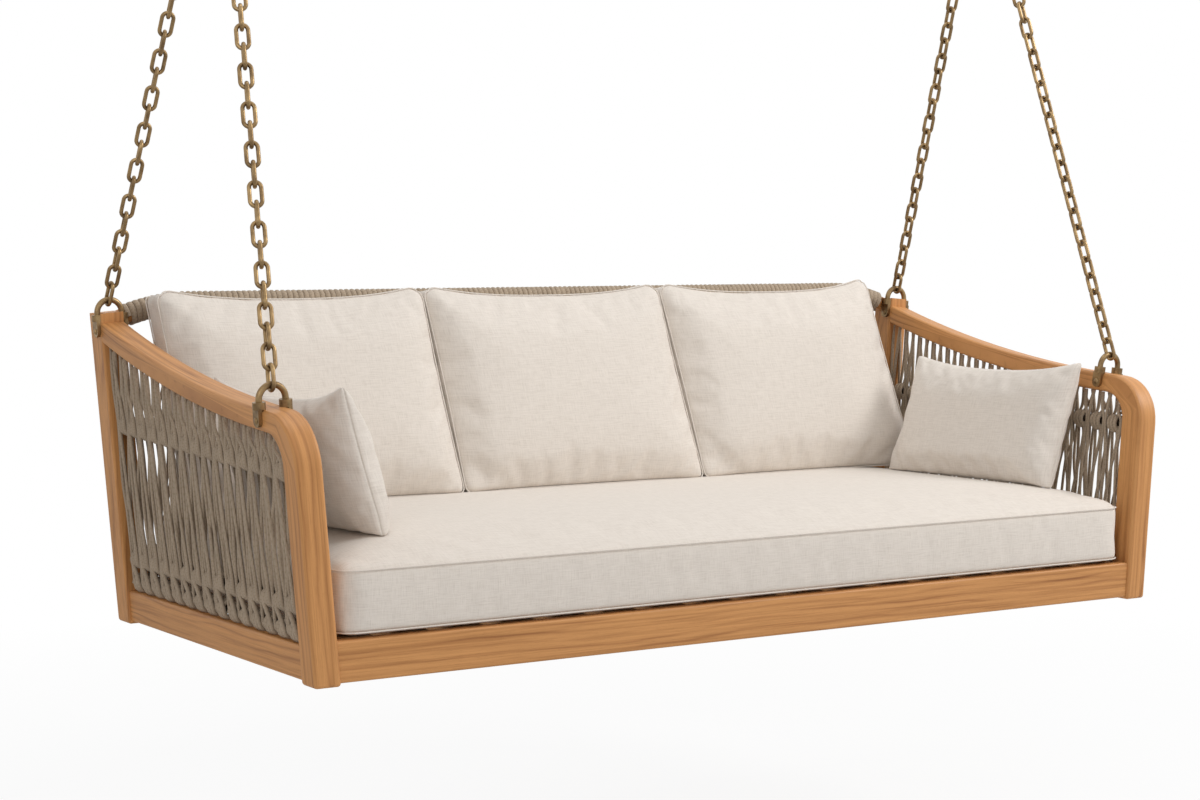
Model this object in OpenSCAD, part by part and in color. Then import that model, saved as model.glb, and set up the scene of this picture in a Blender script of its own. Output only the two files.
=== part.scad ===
// Hanging swing bed: splayed teak frame, rope-woven sides and back, loose cushions,
// four chains that meet in two rings under pivoting ceiling hangers.
// Millimetres. +X runs along the bed, -Y is the open front, +Z is up.
// The origin is on the plane of the posts' feet, at the middle of the frame.

/* [Frame] */
// Width over the feet of the posts
bed_w = 2000; // [1700:10:2300]
// Depth over the feet of the posts
bed_d = 936; // [860:2:1040]
// Outward lean of the two side frames, in degrees
splay = 4.75; // [2:0.25:7]
// Thickness of the side frames, across the bed
post_w = 52; // [46:1:60]
// Depth of a rear post
post_d = 62; // [56:1:70]
// Depth of the front leg of an arm
leg_d = 58; // [52:1:66]
// Rounding of the long edges of the arms
arm_edge = 7; // [4:0.5:9]
// Rounding of the long edges of the posts and rails
edge = 5; // [3:0.5:6]

/* [Arms] */
// Height of an arm's top where its sweep begins
arm_h = 489; // [460:1:520]
// Distance from the front of the frame to where the sweep begins
sweep_start = 168; // [160:2:190]
// Slope of the arm there, in degrees
arm_slope = 4.6; // [3:0.1:6]
// Radius of the upward sweep
sweep_r = 3500; // [3000:50:4500]
// Thickness of the arm rail
arm_t = 40; // [36:1:46]
// Outer radius of the front corner
corner_r = 100; // [85:1:110]
// Inner radius of the front corner
corner_in_r = 58; // [50:1:64]
// Height of a rear post above the end of the arm
post_rise = 20; // [18:1:30]

/* [Rails] */
// Height of the front and rear rails
rail_h = 75; // [70:1:90]
// Height of the side rails
side_rail_h = 64; // [58:1:72]
// Thickness of all the rails
rail_t = 30; // [26:1:34]
// Height of the rails above the feet of the posts
foot_h = 5; // [2:1:10]
// Set-back of the rails from the faces of the posts
rail_set = 6; // [4:1:10]
// Length of the rails' tenons
tenon_l = 25; // [18:1:30]
// Thickness of the tenons
tenon_t = 12; // [10:1:14]

/* [Seat base] */
// Number of slats
slat_n = 17; // [13:1:19]
// Width of a slat
slat_w = 70; // [60:1:80]
// Thickness of a slat
slat_t = 18; // [14:1:22]
// Side of the square cleats under the slat ends
cleat = 25; // [20:1:30]
// Width of the bearer under the middle of the slats
bearer_w = 40; // [32:1:50]

/* [Back rail] */
// Diameter of the bare back rail
back_rail_d = 34; // [30:1:38]
// Thickness of the rope wound round it
wrap_t = 7.5; // [6:0.5:9]
// Length of bare rail at each post
bare_l = 24; // [20:1:40]
// Height of the rail's ends below the tops of the rear posts
back_drop = 17; // [10:1:30]
// Rise of the rail from its ends to its level middle
back_rise = 36; // [20:1:50]
// Length of each curved end
back_bend = 170; // [140:5:260]

/* [Rope panels] */
// Diameter of the rope
rope_d = 9; // [7:0.5:10]
// Diameter of the rods that the rope is wound on
rod_d = 17; // [14:1:20]
// Spacing of the rope columns
column_pitch = 53; // [48:1:60]
// Turns of rope side by side in a winding
turns = 3; // [2:1:4]
// Height of the upper rod at the front leg
upper_rod_front = 374; // [350:1:380]
// Height of the upper rod at the rear post
upper_rod_rear = 412; // [385:1:440]
// Height of the lower rod
lower_rod = 137; // [130:1:180]
// Half the spread of two strands between windings
strand_lean = 9; // [6:0.5:12]

/* [Chains] */
// Diameter of the links' wire
wire_d = 8; // [6:0.5:9]
// Pitch of the links
link_p = 38; // [36:0.5:44]
// Width over a link
link_w = 30; // [28:0.5:34]
// Number of links in a front chain
front_links = 31; // [30:1:33]
// Number of links in a rear chain
rear_links = 28; // [27:1:30]
// Distance between the two hanging rings
ring_gap = 1888; // [1800:4:2000]
// Mean radius of a hanging ring
ring_r = 32; // [30:1:38]
// Diameter of a hanging ring's bar
ring_d = 12; // [10:0.5:13]

/* [Shackles] */
// Diameter of a bow's bar
bow_d = 12; // [10:0.5:13]
// Straight leg of a bow above its collars
bow_leg = 3; // [2:0.5:8]
// Diameter of a collar
collar_d = 24; // [20:1:28]
// Height of a collar
collar_h = 13; // [11:0.5:15]
// Thickness of the straps that reach down the wood
strap_t = 7.5; // [5:0.5:9]
// Length of the straps
strap_l = 32; // [28:1:36]
// Distance from the front of the frame to the front shackles
front_shackle = 133; // [126:1:148]
// Distance from a rear post's front face to its shackle
rear_shackle = 14; // [13:1:16]
// Diameter of the bolt through the two straps
strap_bolt_d = 8; // [6:0.5:9]

/* [Ceiling hangers] */
// Length of a hanger's plate, along the bed
plate_l = 120; // [110:2:150]
// Width of the plate
plate_w = 70; // [64:1:90]
// Thickness of the plate and its two cheeks
plate_t = 6; // [5:0.5:8]
// Spacing of the ceiling bolts along the bed
hole_l = 90; // [84:1:96]
// Spacing of the ceiling bolts across the plate
hole_w = 46; // [42:1:50]
// Diameter of the ceiling bolt holes
hole_d = 9; // [7:0.5:11]
// Diameter of the pivot bolt
pivot_d = 12; // [10:0.5:14]
// Wall of the bush round the pivot bolt
bush_t = 3; // [2:0.5:4]
// Length of the bush and of the eye's barrel
barrel_l = 32; // [28:1:40]
// Distance from the plate's underside to the pivot
pivot_drop = 24; // [21:1:30]
// Distance from the pivot to the ring's bar
eye_l = 36; // [32:1:44]

/* [Cushions] */
// Thickness of the seat cushion between its pipings
seat_t = 110; // [90:5:130]
// Rise of the seat cushion's crown above its upper piping
seat_crown = 54; // [30:1:60]
// Height of the back cushions
back_h = 436; // [400:2:480]
// Thickness of the back cushions at their edges
back_t = 62; // [50:2:90]
// Swell of a back cushion's front beyond its edges
back_swell = 60; // [30:1:66]
// Swell of a back cushion's rear beyond its edges
rear_swell = 24; // [10:1:30]
// Backward lean of the back cushions, in degrees
back_lean = 24; // [14:0.5:28]
// Distance the row of back cushions stands left of the middle
back_shift = 39; // [0:1:45]
// Length of a lumbar pillow
pillow_l = 484; // [440:2:540]
// Height of a lumbar pillow
pillow_h = 268; // [250:2:300]
// Thickness of a lumbar pillow
pillow_t = 124; // [100:2:140]
// Distance from a lumbar pillow's foot to the plane of its arm's inner edge
pillow_in = 133; // [120:1:160]
// Lean of a lumbar pillow towards its arm, in degrees
pillow_lean = 18; // [8:0.5:22]
// Turn of the left pillow, its front end towards the middle, in degrees
left_turn = 5.6; // [0:0.2:8]
// Turn of the right pillow, its rear end towards the middle, in degrees
right_turn = 7.4; // [0:0.2:9]

/* [Hidden] */
$fn = 48;

// Clearances
fit = 0.2;          // round a tenon, rod or bolt in its hole
play = 0.3;         // between parts that only rest on each other
run = 0.06;         // between the bush and its bolt, on the radius
soft = 1;           // between a cushion and the frame
far = 4000;         // longer than anything in the bed

// Planes of the frame
front_y = -bed_d / 2;
rear_y = bed_d / 2;
leg_back_y = front_y + leg_d;
post_front_y = rear_y - post_d;
side_rail_l = post_front_y - leg_back_y;
rail_top = foot_h + rail_h;
side_rail_top = foot_h + side_rail_h;
mid_x = post_w / 2;                     // middle of a side frame, in its own plane
back_y = rear_y - back_rail_d / 2 - wrap_t;     // middle of the rope back
seat_top = rail_top;                    // top of the slats
bearer_z = foot_h + 8;

// Outline of an arm, seen from the side: a straight run, then an upward sweep
sweep_y = front_y + sweep_start;
sweep_c = [sweep_y - sweep_r * sin(arm_slope), arm_h + sweep_r * cos(arm_slope)];
function arm_line(y, drop) = arm_h + (y - sweep_y) * tan(arm_slope) - drop / cos(arm_slope);
function arm_sweep(y, drop) = sweep_c[1] - sqrt(pow(sweep_r + drop, 2) - pow(y - sweep_c[0], 2));
function arm_z(y, drop) = y < sweep_y ? arm_line(y, drop) : arm_sweep(y, drop);
corner_c = [front_y + corner_r, arm_line(front_y + corner_r, corner_r)];
corner_in_c = [leg_back_y + corner_in_r, arm_line(leg_back_y + corner_in_r, arm_t + corner_in_r)];
function on_circle(c, r, a) = [c[0] + r * cos(a), c[1] + r * sin(a)];
// Underside of the arm, with the inner corner below its straight run
function arm_under(y) = y < corner_in_c[0] + corner_in_r * cos(90 + arm_slope)
    ? corner_in_c[1] + sqrt(pow(corner_in_r, 2) - pow(y - corner_in_c[0], 2))
    : arm_z(y, arm_t);
post_h = arm_z(post_front_y, 0) + post_rise;

// A point of the left side frame's plane, in the bed's own frame
function world(p) = [p[0] * cos(splay) - p[2] * sin(splay) - bed_w / 2, p[1],
    p[0] * sin(splay) + p[2] * cos(splay)];

// Shackles stand on the arm's straight run and in the top of the rear post
front_shackle_y = front_y + front_shackle;
rear_shackle_y = post_front_y + rear_shackle;
bow_r = mid_x;
bow_h = collar_h + bow_leg + bow_r;
seat_drop = collar_h + 3;
front_seat = [mid_x, front_shackle_y, arm_line(front_shackle_y, 0)];
rear_seat = [mid_x, rear_shackle_y, post_h - seat_drop];
strap_bolt_z = -arm_t / 2;
front_bow = world(front_seat + bow_h * [0, -sin(arm_slope), cos(arm_slope)]);
rear_bow = world(rear_seat + [0, 0, bow_h]);

// The ring hangs where both chains are taut: two spheres round the bows meet in its plane
function chain_span(n) = n * link_p - (bow_d + ring_d) / 2 - play + ring_r;
ring_x = -ring_gap / 2;
front_reach = sqrt(pow(chain_span(front_links), 2) - pow(ring_x - front_bow[0], 2));
rear_reach = sqrt(pow(chain_span(rear_links), 2) - pow(ring_x - rear_bow[0], 2));
bow_step = [rear_bow[1] - front_bow[1], rear_bow[2] - front_bow[2]];
bow_dist = norm(bow_step);
along = (pow(front_reach, 2) - pow(rear_reach, 2) + pow(bow_dist, 2)) / (2 * bow_dist);
above = sqrt(pow(front_reach, 2) - pow(along, 2));
ring_c = [ring_x,
    front_bow[1] + (along * bow_step[0] - above * bow_step[1]) / bow_dist,
    front_bow[2] + (along * bow_step[1] + above * bow_step[0]) / bow_dist];
function unit(v) = v / norm(v);
front_dir = unit(ring_c - front_bow);
rear_dir = unit(ring_c - rear_bow);
ring_axis = unit(cross(front_dir, rear_dir));
ring_up = unit([0, 0, 1] - ring_axis[2] * ring_axis);
ring_top = ring_c + ring_r * ring_up;

// Hangers
eye_hole_r = ring_d / 2 + 2;
pivot = ring_top + [0, 0, eye_l];
cheek_gap = barrel_l + 5;
washer_t = (cheek_gap - barrel_l) / 2 - fit;
barrel_r = pivot_d / 2 + bush_t + 5;
cheek_r = pivot_d / 2 + 12;

// Rope columns
coil_r = rod_d / 2 + play + rope_d;
coil_w = turns * (rope_d - 0.6);
strand_x = rod_d / 2 + play + rope_d / 2;
apex = column_pitch / 2 - rope_d;
rope_top = 2;                           // the strands' ends below the wood or the wrapped rail
bottom_rod = side_rail_top + play + coil_r;
back_bottom_rod = rail_top + play + coil_r;
back_upper_rod = upper_rod_rear;
side_n = floor((post_front_y - leg_back_y - coil_w - 2 * soft) / column_pitch) + 1;
side_mid_y = (leg_back_y + post_front_y) / 2;
back_half = bed_w / 2 - post_w;
back_n = 2 * floor((2 * back_half - coil_w) / column_pitch / 2) + 1;
rod_rise = atan((upper_rod_rear - upper_rod_front) / side_rail_l);
function upper_rod(y) = upper_rod_front + (y - leg_back_y) * tan(rod_rise);

// Back rail: two arcs that rise from the posts to a level middle
back_end_z = world([0, 0, post_h])[2] - back_drop;
bend_a = 2 * atan(back_rise / back_bend);
bend_r = back_bend / sin(bend_a);
back_end_x = -world([post_w, 0, post_h - back_drop])[0] + 14;
back_mid_x = back_end_x - back_bend;
wrap_r = back_rail_d / 2 + wrap_t;
function back_rail_z(x) = back_end_z + back_rise
    - (abs(x) < back_mid_x ? 0 : bend_r - sqrt(pow(bend_r, 2) - pow(abs(x) - back_mid_x, 2)));

// Cushions
welt_drop = 11;                         // the lower piping above the slats
seat_half_w = bed_w / 2 - post_w - 3;
seat_front = front_y + rail_set + 4;
seat_rear = back_y - coil_r - 3 * soft;
seat_low_welt = seat_top + welt_drop;
seat_high_welt = seat_low_welt + seat_t;
crown = [[0, 0], [12, 0.26], [50, 0.54], [150, 0.8], [300, 1]];
function seat_z(inset) = seat_high_welt + seat_crown * lookup(inset, crown);
face = [[0, 0], [8, 0.2], [24, 0.5], [60, 0.85], [120, 1]];     // swell of a face, inwards from its edge
back_gap = 2;
back_w = (2 * seat_half_w - 56 - 2 * back_gap) / 3;
back_foot_y = back_y - wrap_r - 1.4 * soft - back_t - back_h * tan(back_lean);      // its front edge
back_nose_y = back_foot_y + min([for (f = face) f[0] * tan(back_lean) - back_swell * f[1]]);
pillow_y = back_nose_y - 4 * soft - pillow_l / 2;

// One bar with four rounded long edges
module bar(x, y, h, r) {
    linear_extrude(h) union() {
        translate([r, 0]) square([x - 2 * r, y]);
        translate([0, r]) square([x, y - 2 * r]);
        for (cx = [r, x - r], cy = [r, y - r]) translate([cx, cy]) circle(r);
    }
}

// Places what is drawn in a side frame's plane; the right side mirrors the left
module side(s) {
    mirror([s > 0 ? 1 : 0, 0, 0])
        translate([-bed_w / 2, 0, 0]) rotate([0, -splay, 0]) children();
}

// Places what is drawn for the left half of the bed
module half(s) { mirror([s > 0 ? 1 : 0, 0, 0]) children(); }

// Turns what is drawn along +Z to the direction v, keeping its X as near the bed's X as it can
module aim(v) {
    az = atan2(v[1], v[0]);
    rotate([0, acos(v[2] / norm(v)), az]) rotate([0, 0, -az]) children();
}

// A round rod from a to b
module rod(a, b, d) { translate(a) aim(b - a) cylinder(d = d, h = norm(b - a)); }

// Rods of one side panel, in the side frame's plane, longer by the given socket depth
module side_rods(d, deep) {
    y0 = leg_back_y - deep;
    y1 = post_front_y + deep;
    rod([mid_x, y0, upper_rod(y0)], [mid_x, y1, upper_rod(y1)], d);
    for (z = [lower_rod, bottom_rod]) rod([mid_x, y0, z], [mid_x, y1, z], d);
}

// Rods of the back panel, each reaching the given depth into the posts
module back_rods(d, deep) {
    for (z = [back_upper_rod, lower_rod + back_bottom_rod - bottom_rod, back_bottom_rod]) {
        x = bed_w / 2 - post_w + z * tan(splay) + deep;
        rod([-x, back_y, z], [x, back_y, z], d);
    }
}

// Tenons of a front or rear rail whose middle is at y, with room all round
module rail_tenon(y, room) {
    x = bed_w / 2 - post_w + tenon_l + room;
    translate([-x, y - tenon_t / 2 - room, foot_h + 12 - room])
        cube([2 * x, tenon_t + 2 * room, rail_h - 24 + 2 * room]);
}

// Tenons of a side rail, in the side frame's plane
module side_tenon(room) {
    translate([rail_set + (rail_t - tenon_t) / 2 - room, leg_back_y - tenon_l - room, foot_h + 12 - room])
        cube([tenon_t + 2 * room, side_rail_l + 2 * (tenon_l + room), side_rail_h - 24 + 2 * room]);
}

// Tenon of an arm's rear end
module arm_tenon(room) {
    z = arm_z(post_front_y, arm_t / 2);
    translate([mid_x - tenon_t / 2 - room, post_front_y - tenon_l, z - 12 - room])
        cube([tenon_t + 2 * room, 2 * tenon_l + room, 24 + 2 * room]);
}

// Everything above the plane that the feet stand on
module above_ground() { translate([-far / 2, -far / 2, 0]) cube(far); }

// Space between the inner faces of the two side frames, grown outwards by the given amount
module between_sides(grow) {
    intersection_for(s = [-1, 1]) side(s) translate([post_w - grow, -far / 2, -far / 2]) cube(far);
}

module front_rail() {
    color("#b67c4c") union() {
        intersection() {
            translate([-far / 2, front_y + rail_set + rail_t, foot_h]) rotate([90, 0, 90]) mirror([1, 0, 0])
                bar(rail_t, rail_h, far, edge);
            between_sides(0);
        }
        rail_tenon(front_y + rail_set + rail_t / 2, 0);
    }
}

module rear_rail() { color("#b67c4c") mirror([0, 1, 0]) front_rail(); }

module side_rail(s) {
    color("#b67c4c") side(s) union() {
        translate([rail_set, leg_back_y, foot_h]) mirror([0, 1, 0]) rotate([90, 0, 0])
            bar(rail_t, side_rail_h, side_rail_l, edge);
        side_tenon(0);
    }
}

// Cross-section of an arm between an outer and an inner point of its outline
function corner_points(x, u, a0) =
    [for (a = [a0 : 30 : a0 + 90]) [x + arm_edge * cos(a), u + arm_edge * sin(a)]];
function arm_section(o, i) = let (l = norm(i - o), e = (i - o) / l, r = arm_edge)
    [for (p = concat(corner_points(post_w - r, l - r, 0), corner_points(r, l - r, 90),
            corner_points(r, r, 180), corner_points(post_w - r, r, 270)))
        [p[0], o[0] + e[0] * p[1], o[1] + e[1] * p[1]]];
corner_steps = 10;
sweep_steps = 12;
leg_sections = [for (z = [-2 * foot_h - post_w * sin(splay), corner_c[1]])
    arm_section([front_y, z], [leg_back_y, min(z, corner_in_c[1])])];
corner_sections = [for (k = [1 : corner_steps]) let (a = 180 - (90 - arm_slope) * k / corner_steps)
    arm_section(on_circle(corner_c, corner_r, a), on_circle(corner_in_c, corner_in_r, a))];
sweep_sections = [for (k = [0 : sweep_steps]) let (y = sweep_y + (post_front_y - sweep_y) * k / sweep_steps)
    arm_section([y, arm_z(y, 0)], [y, arm_z(y, arm_t)])];
arm_sections = concat(leg_sections, corner_sections, sweep_sections);

// Closed skin over a list of equal rings of points
module skin(rings) {
    n = len(rings[0]);
    m = len(rings);
    polyhedron([for (r = rings) each r], concat(
        [[for (j = [0 : n - 1]) j]],
        [for (i = [0 : m - 2], j = [0 : n - 1])
            [i * n + j, (i + 1) * n + j, (i + 1) * n + (j + 1) % n, i * n + (j + 1) % n]],
        [[for (j = [n - 1 : -1 : 0]) (m - 1) * n + j]]));
}

module arm(s) {
    color("#b67c4c") difference() {
        intersection() {
            side(s) union() {
                skin(arm_sections);
                arm_tenon(0);
            }
            above_ground();
        }
        side(s) side_rods(rod_d + 2 * fit, 12 + fit);
        side(s) side_tenon(fit);
        rail_tenon(front_y + rail_set + rail_t / 2, fit);
        side(s) shackle_place(front_seat, arm_slope) strap_bolt_hole();
        side(s) shackle_place(rear_seat, 0) strap_bolt_hole();
    }
}

module rear_post(s) {
    color("#b67c4c") difference() {
        intersection() {
            side(s) translate([0, post_front_y, -2 * foot_h - post_w * sin(splay)])
                bar(post_w, post_d, post_h + 2 * foot_h + post_w * sin(splay), edge);
            above_ground();
        }
        side(s) side_rods(rod_d + 2 * fit, 12 + fit);
        side(s) side_tenon(fit);
        side(s) arm_tenon(fit);
        rail_tenon(-(front_y + rail_set + rail_t / 2), fit);
        back_rods(rod_d + 2 * fit, 12 + fit);
        back_end_socket();
        side(s) shackle_place(rear_seat, 0) {
            strap_bolt_hole();
            for (x = [-bow_r, bow_r]) translate([x, 0, 0]) cylinder(d = collar_d + 2 * play, h = far);
        }
    }
}

// Sockets for the ends of the back rail
module back_end_socket() { back_bar(back_rail_d + 2 * fit, 0, -fit); }

module cleat_strip(s) {
    y = s * (bed_d / 2 - rail_set - rail_t - cleat / 2);
    color("#a8744a") intersection() {
        translate([-far / 2, y - cleat / 2, seat_top - slat_t - cleat]) cube([far, cleat, cleat]);
        between_sides(-2);
    }
}

module centre_bearer() {
    color("#a8744a") intersection() {
        translate([-far / 2, -bearer_w / 2, bearer_z]) cube([far, bearer_w, seat_top - slat_t - bearer_z]);
        between_sides(post_w - rail_set - rail_t);
    }
}

module seat_slats() {
    l = bed_d - 2 * (rail_set + rail_t);
    step = (2 * (bed_w / 2 - post_w) - slat_w - 24) / (slat_n - 1);
    color("#b98657") for (k = [0 : slat_n - 1])
        translate([(k - (slat_n - 1) / 2) * step - slat_w / 2, l / 2, seat_top - slat_t])
            rotate([90, 0, 0]) bar(slat_w, slat_t, l, 3);
}

// Ring or disc that a back rail's bar is made from
module bar_section(d, bore) {
    difference() {
        circle(d = d);
        if (bore > 0) circle(d = bore);
    }
}

// A bar on the back rail's path, cut short by the given length at both ends
module back_bar(d, bore, short) {
    a = bend_a * (1 - short / back_bend);
    for (s = [-1, 1]) half(s) translate([-back_mid_x, back_y, back_end_z + back_rise]) {
        rotate([0, 90, 0]) linear_extrude(back_mid_x) bar_section(d, bore);
        translate([0, 0, -bend_r]) rotate([90, 0, 0]) rotate([0, 0, 90]) rotate_extrude(angle = a)
            translate([bend_r, 0]) bar_section(d, bore);
    }
}

// The rail's ends are notched over the shackles' inner straps and collars
module back_top_rail() {
    notch = collar_d / 2 + 2 * play;
    color("#b67c4c") difference() {
        back_bar(back_rail_d, 0, 0);
        for (s = [-1, 1]) side(s) shackle_place(rear_seat, 0)
            translate([bow_r - notch, -far / 2, -far / 2]) cube([2 * notch, far / 2 + notch, far]);
    }
}

module back_rail_wrap() { color("#8f8272") back_bar(2 * wrap_r, back_rail_d + 2 * fit, 14 + bare_l); }

module rope_rods(s) { color("#5d5448") side(s) side_rods(rod_d, 12); }

module back_rope_rods() { color("#5d5448") back_rods(rod_d, 12); }

// Turns of rope wound round a rod that runs along Y, rising by the given angle
module winding(rise) {
    rotate([90 + rise, 0, 0]) difference() {
        cylinder(r = coil_r, h = coil_w, center = true);
        cylinder(d = rod_d + 2 * play, h = 2 * coil_w, center = true);
    }
}

// One strand on the face q of a panel, from height a to height b, with its sideways places there
module strand(q, ya, a, yb, b) {
    rod([q * strand_x, ya, a], [q * strand_x, yb, b], rope_d - 0.8);
}

// A wound column: a strand on each face comes down from the top and is wound on every rod
module wound_column(top, rods, rise) {
    for (k = [0 : 2]) translate([0, 0, rods[k]]) winding(k == 0 ? rise : 0);
    for (q = [-1, 1]) {
        strand(q, apex, top, 4, rods[0]);
        strand(q, 4 - q * strand_lean, rods[0], 4 + q * strand_lean, rods[1]);
        strand(q, 0, rods[1], 0, rods[2]);
    }
}

// A plain strand between two columns: down one face, round the lowest rod, up the other face
module plain_strand(top, bottom) {
    for (q = [-1, 1]) translate([q * strand_x, 0, bottom]) cylinder(d = rope_d, h = top - bottom);
    translate([0, 0, bottom]) rotate([-90, 0, 0]) rotate_extrude(angle = 180)
        translate([strand_x, 0]) circle(d = rope_d);
}

module rope_weave(s) {
    color("#94887a") side(s) for (k = [0 : side_n - 1]) {
        y = side_mid_y + (k - (side_n - 1) / 2) * column_pitch;
        ya = y + apex;
        translate([mid_x, y, 0])
            wound_column(arm_under(ya) - rope_top, [upper_rod(y), lower_rod, bottom_rod], rod_rise);
        if (k < side_n - 1) translate([mid_x, y + column_pitch / 2, 0])
            plain_strand(arm_under(y + column_pitch / 2) - rope_top, bottom_rod);
    }
}

module back_rope_weave() {
    lower = lower_rod + back_bottom_rod - bottom_rod;
    color("#94887a") for (k = [0 : back_n - 1]) {
        x = (k - (back_n - 1) / 2) * column_pitch;
        top = back_rail_z(abs(x) + apex) - wrap_r - rope_top;
        translate([x, back_y, 0]) rotate([0, 0, 90]) {
            wound_column(top, [back_upper_rod, lower, back_bottom_rod], 0);
            if (k > 0) translate([0, column_pitch / 2, 0]) plain_strand(top, back_bottom_rod);
        }
    }
}

// Places a shackle on its seat, leaning with the wood under it
module shackle_place(seat, lean) { translate(seat) rotate([lean, 0, 0]) children(); }

module strap_bolt_hole() {
    translate([-far / 2, 0, strap_bolt_z]) rotate([0, 90, 0]) cylinder(d = strap_bolt_d + 2 * fit, h = far);
}

module shackle_body() {
    reach = strap_l - collar_d / 2;
    difference() {
        union() {
            translate([0, 0, bow_h - bow_r]) rotate([90, 0, 0]) rotate_extrude(angle = 180)
                translate([bow_r, 0]) circle(d = bow_d);
            for (s = [-1, 1]) half(s) {
                translate([-bow_r, 0, collar_h]) cylinder(d = bow_d, h = bow_leg);
                translate([-bow_r, 0, 0]) cylinder(d = collar_d, h = collar_h);
                translate([-bow_r - strap_t, -collar_d / 2, -reach]) cube([strap_t, collar_d, reach + 1]);
                translate([-bow_r - strap_t, 0, -reach]) rotate([0, 90, 0])
                    cylinder(d = collar_d, h = strap_t);
            }
        }
        strap_bolt_hole();
    }
}

module shackle(s, seat, lean) { color("#8c7446") side(s) shackle_place(seat, lean) shackle_body(); }

// Bolt through both straps, with a low domed head and a domed nut
module strap_bolt() {
    l = post_w + 2 * strap_t + 2 * play;
    rotate([0, 90, 0]) {
        translate([0, 0, -l / 2]) cylinder(d = strap_bolt_d, h = l);
        for (k = [0, 1]) mirror([0, 0, k]) translate([0, 0, l / 2]) intersection() {
            cylinder(d = strap_bolt_d + 5, h = 3);
            translate([0, 0, -6]) sphere(r = 9);
        }
    }
}

module shackle_bolts() {
    color("#8c7446") for (s = [-1, 1]) {
        side(s) shackle_place(front_seat, arm_slope) translate([0, 0, strap_bolt_z]) strap_bolt();
        side(s) shackle_place(rear_seat, 0) translate([0, 0, strap_bolt_z]) strap_bolt();
    }
}

// One welded oval link, standing in the XZ plane
module link() {
    r = (link_w - wire_d) / 2;
    straight = link_p + play + wire_d - 2 * r;
    for (k = [0, 1]) rotate([0, 180 * k, 0]) {
        translate([r, 0, -straight / 2]) cylinder(d = wire_d, h = straight);
        translate([0, 0, straight / 2]) rotate([90, 0, 0]) rotate_extrude(angle = 180)
            translate([r, 0]) circle(d = wire_d);
    }
}

// A chain of n links from a bow to the ring, along v. Every link is a quarter turn on from the
// one before. The chain twists by the given angle over its first links, and untwists over its
// last ones, or goes on to a quarter turn, so that the last link stands across the ring's bar.
first_links = 5;
last_links = 12;
function twist(k, n, angle) = angle * min(k / first_links, 1)
    + ((n % 2 == 0 ? 0 : -90) - angle) * max(0, (k - (n - 1 - last_links)) / last_links);
module chain(bow, v, n, angle) {
    color("#7d6a45") for (k = [0 : n - 1])
        translate(bow + v * (k * link_p + (link_p - play - bow_d) / 2))
            aim(v) rotate([0, 0, 90 * (k + 1) + twist(k, n, angle)]) link();
}
module front_chain(s, angle) { half(s) chain(front_bow, front_dir, front_links, angle); }
module rear_chain(s, angle) { half(s) chain(rear_bow, rear_dir, rear_links, angle); }

module hanging_ring(s) {
    color("#7d6a45") half(s) translate(ring_c) aim(ring_up) rotate([0, 90, 0])
        rotate_extrude() translate([ring_r, 0]) circle(d = ring_d);
}

// Round parts on the pivot's axis, from x0 to x1 beside the middle of a hanger
module on_pivot(s, x0, x1, d) {
    half(s) translate(pivot + [x0, 0, 0]) rotate([0, 90, 0]) cylinder(d = d, h = x1 - x0);
}

module swing_eye(s) {
    hole_z = eye_hole_r - ring_d / 2 - 2 * play;
    eye_t = 8;
    color("#7d6a45") difference() {
        union() {
            on_pivot(s, -barrel_l / 2, barrel_l / 2, 2 * barrel_r);
            half(s) translate(ring_top + [0, eye_t / 2, hole_z]) rotate([90, 0, 0]) {
                cylinder(r = eye_hole_r + 8, h = eye_t);
                translate([-barrel_l / 2 + 3, 0, 0]) cube([barrel_l - 6, eye_l - hole_z, eye_t]);
            }
        }
        on_pivot(s, -barrel_l, barrel_l, pivot_d + 2 * bush_t);
        half(s) translate(ring_top + [0, eye_t, hole_z]) rotate([90, 0, 0])
            cylinder(r = eye_hole_r, h = 2 * eye_t);
    }
}

module eye_bushes() {
    color("#c9a45a") for (s = [-1, 1]) difference() {
        on_pivot(s, -barrel_l / 2, barrel_l / 2, pivot_d + 2 * bush_t - 0.04);
        on_pivot(s, -barrel_l, barrel_l, pivot_d + 2 * run);
    }
}

module ceiling_bracket(s) {
    color("#6e6250") half(s) difference() {
        union() {
            translate(pivot + [-plate_l / 2, -plate_w / 2, pivot_drop]) bar(plate_l, plate_w, plate_t, 8);
            for (x = [-cheek_gap / 2 - plate_t, cheek_gap / 2]) translate(pivot + [x, 0, 0]) {
                translate([0, -cheek_r, 0]) cube([plate_t, 2 * cheek_r, pivot_drop]);
                rotate([0, 90, 0]) cylinder(r = cheek_r, h = plate_t);
            }
        }
        for (x = [-hole_l / 2, hole_l / 2], y = [-hole_w / 2, hole_w / 2])
            translate(pivot + [x, y, pivot_drop - 1]) cylinder(d = hole_d, h = plate_t + 2);
        translate(pivot - [cheek_gap, 0, 0]) rotate([0, 90, 0])
            cylinder(d = pivot_d + 2 * run, h = 2 * cheek_gap);
    }
}

pivot_out = cheek_gap / 2 + plate_t;    // outer face of a cheek
hex_h = 8;
module pivot_bolts() {
    color("#8b8172") for (s = [-1, 1]) {
        on_pivot(s, -pivot_out - fit, pivot_out + hex_h + 4, pivot_d);
        half(s) translate(pivot - [pivot_out + fit + hex_h, 0, 0]) rotate([0, 90, 0])
            cylinder(d = 1.8 * pivot_d, h = hex_h, $fn = 6);
    }
}

module pivot_nuts() {
    color("#8b8172") for (s = [-1, 1]) difference() {
        half(s) translate(pivot + [pivot_out + fit, 0, 0]) rotate([0, 90, 0])
            cylinder(d = 1.8 * pivot_d, h = hex_h, $fn = 6);
        on_pivot(s, 0, 2 * pivot_out, pivot_d + 2 * run);
    }
}

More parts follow.
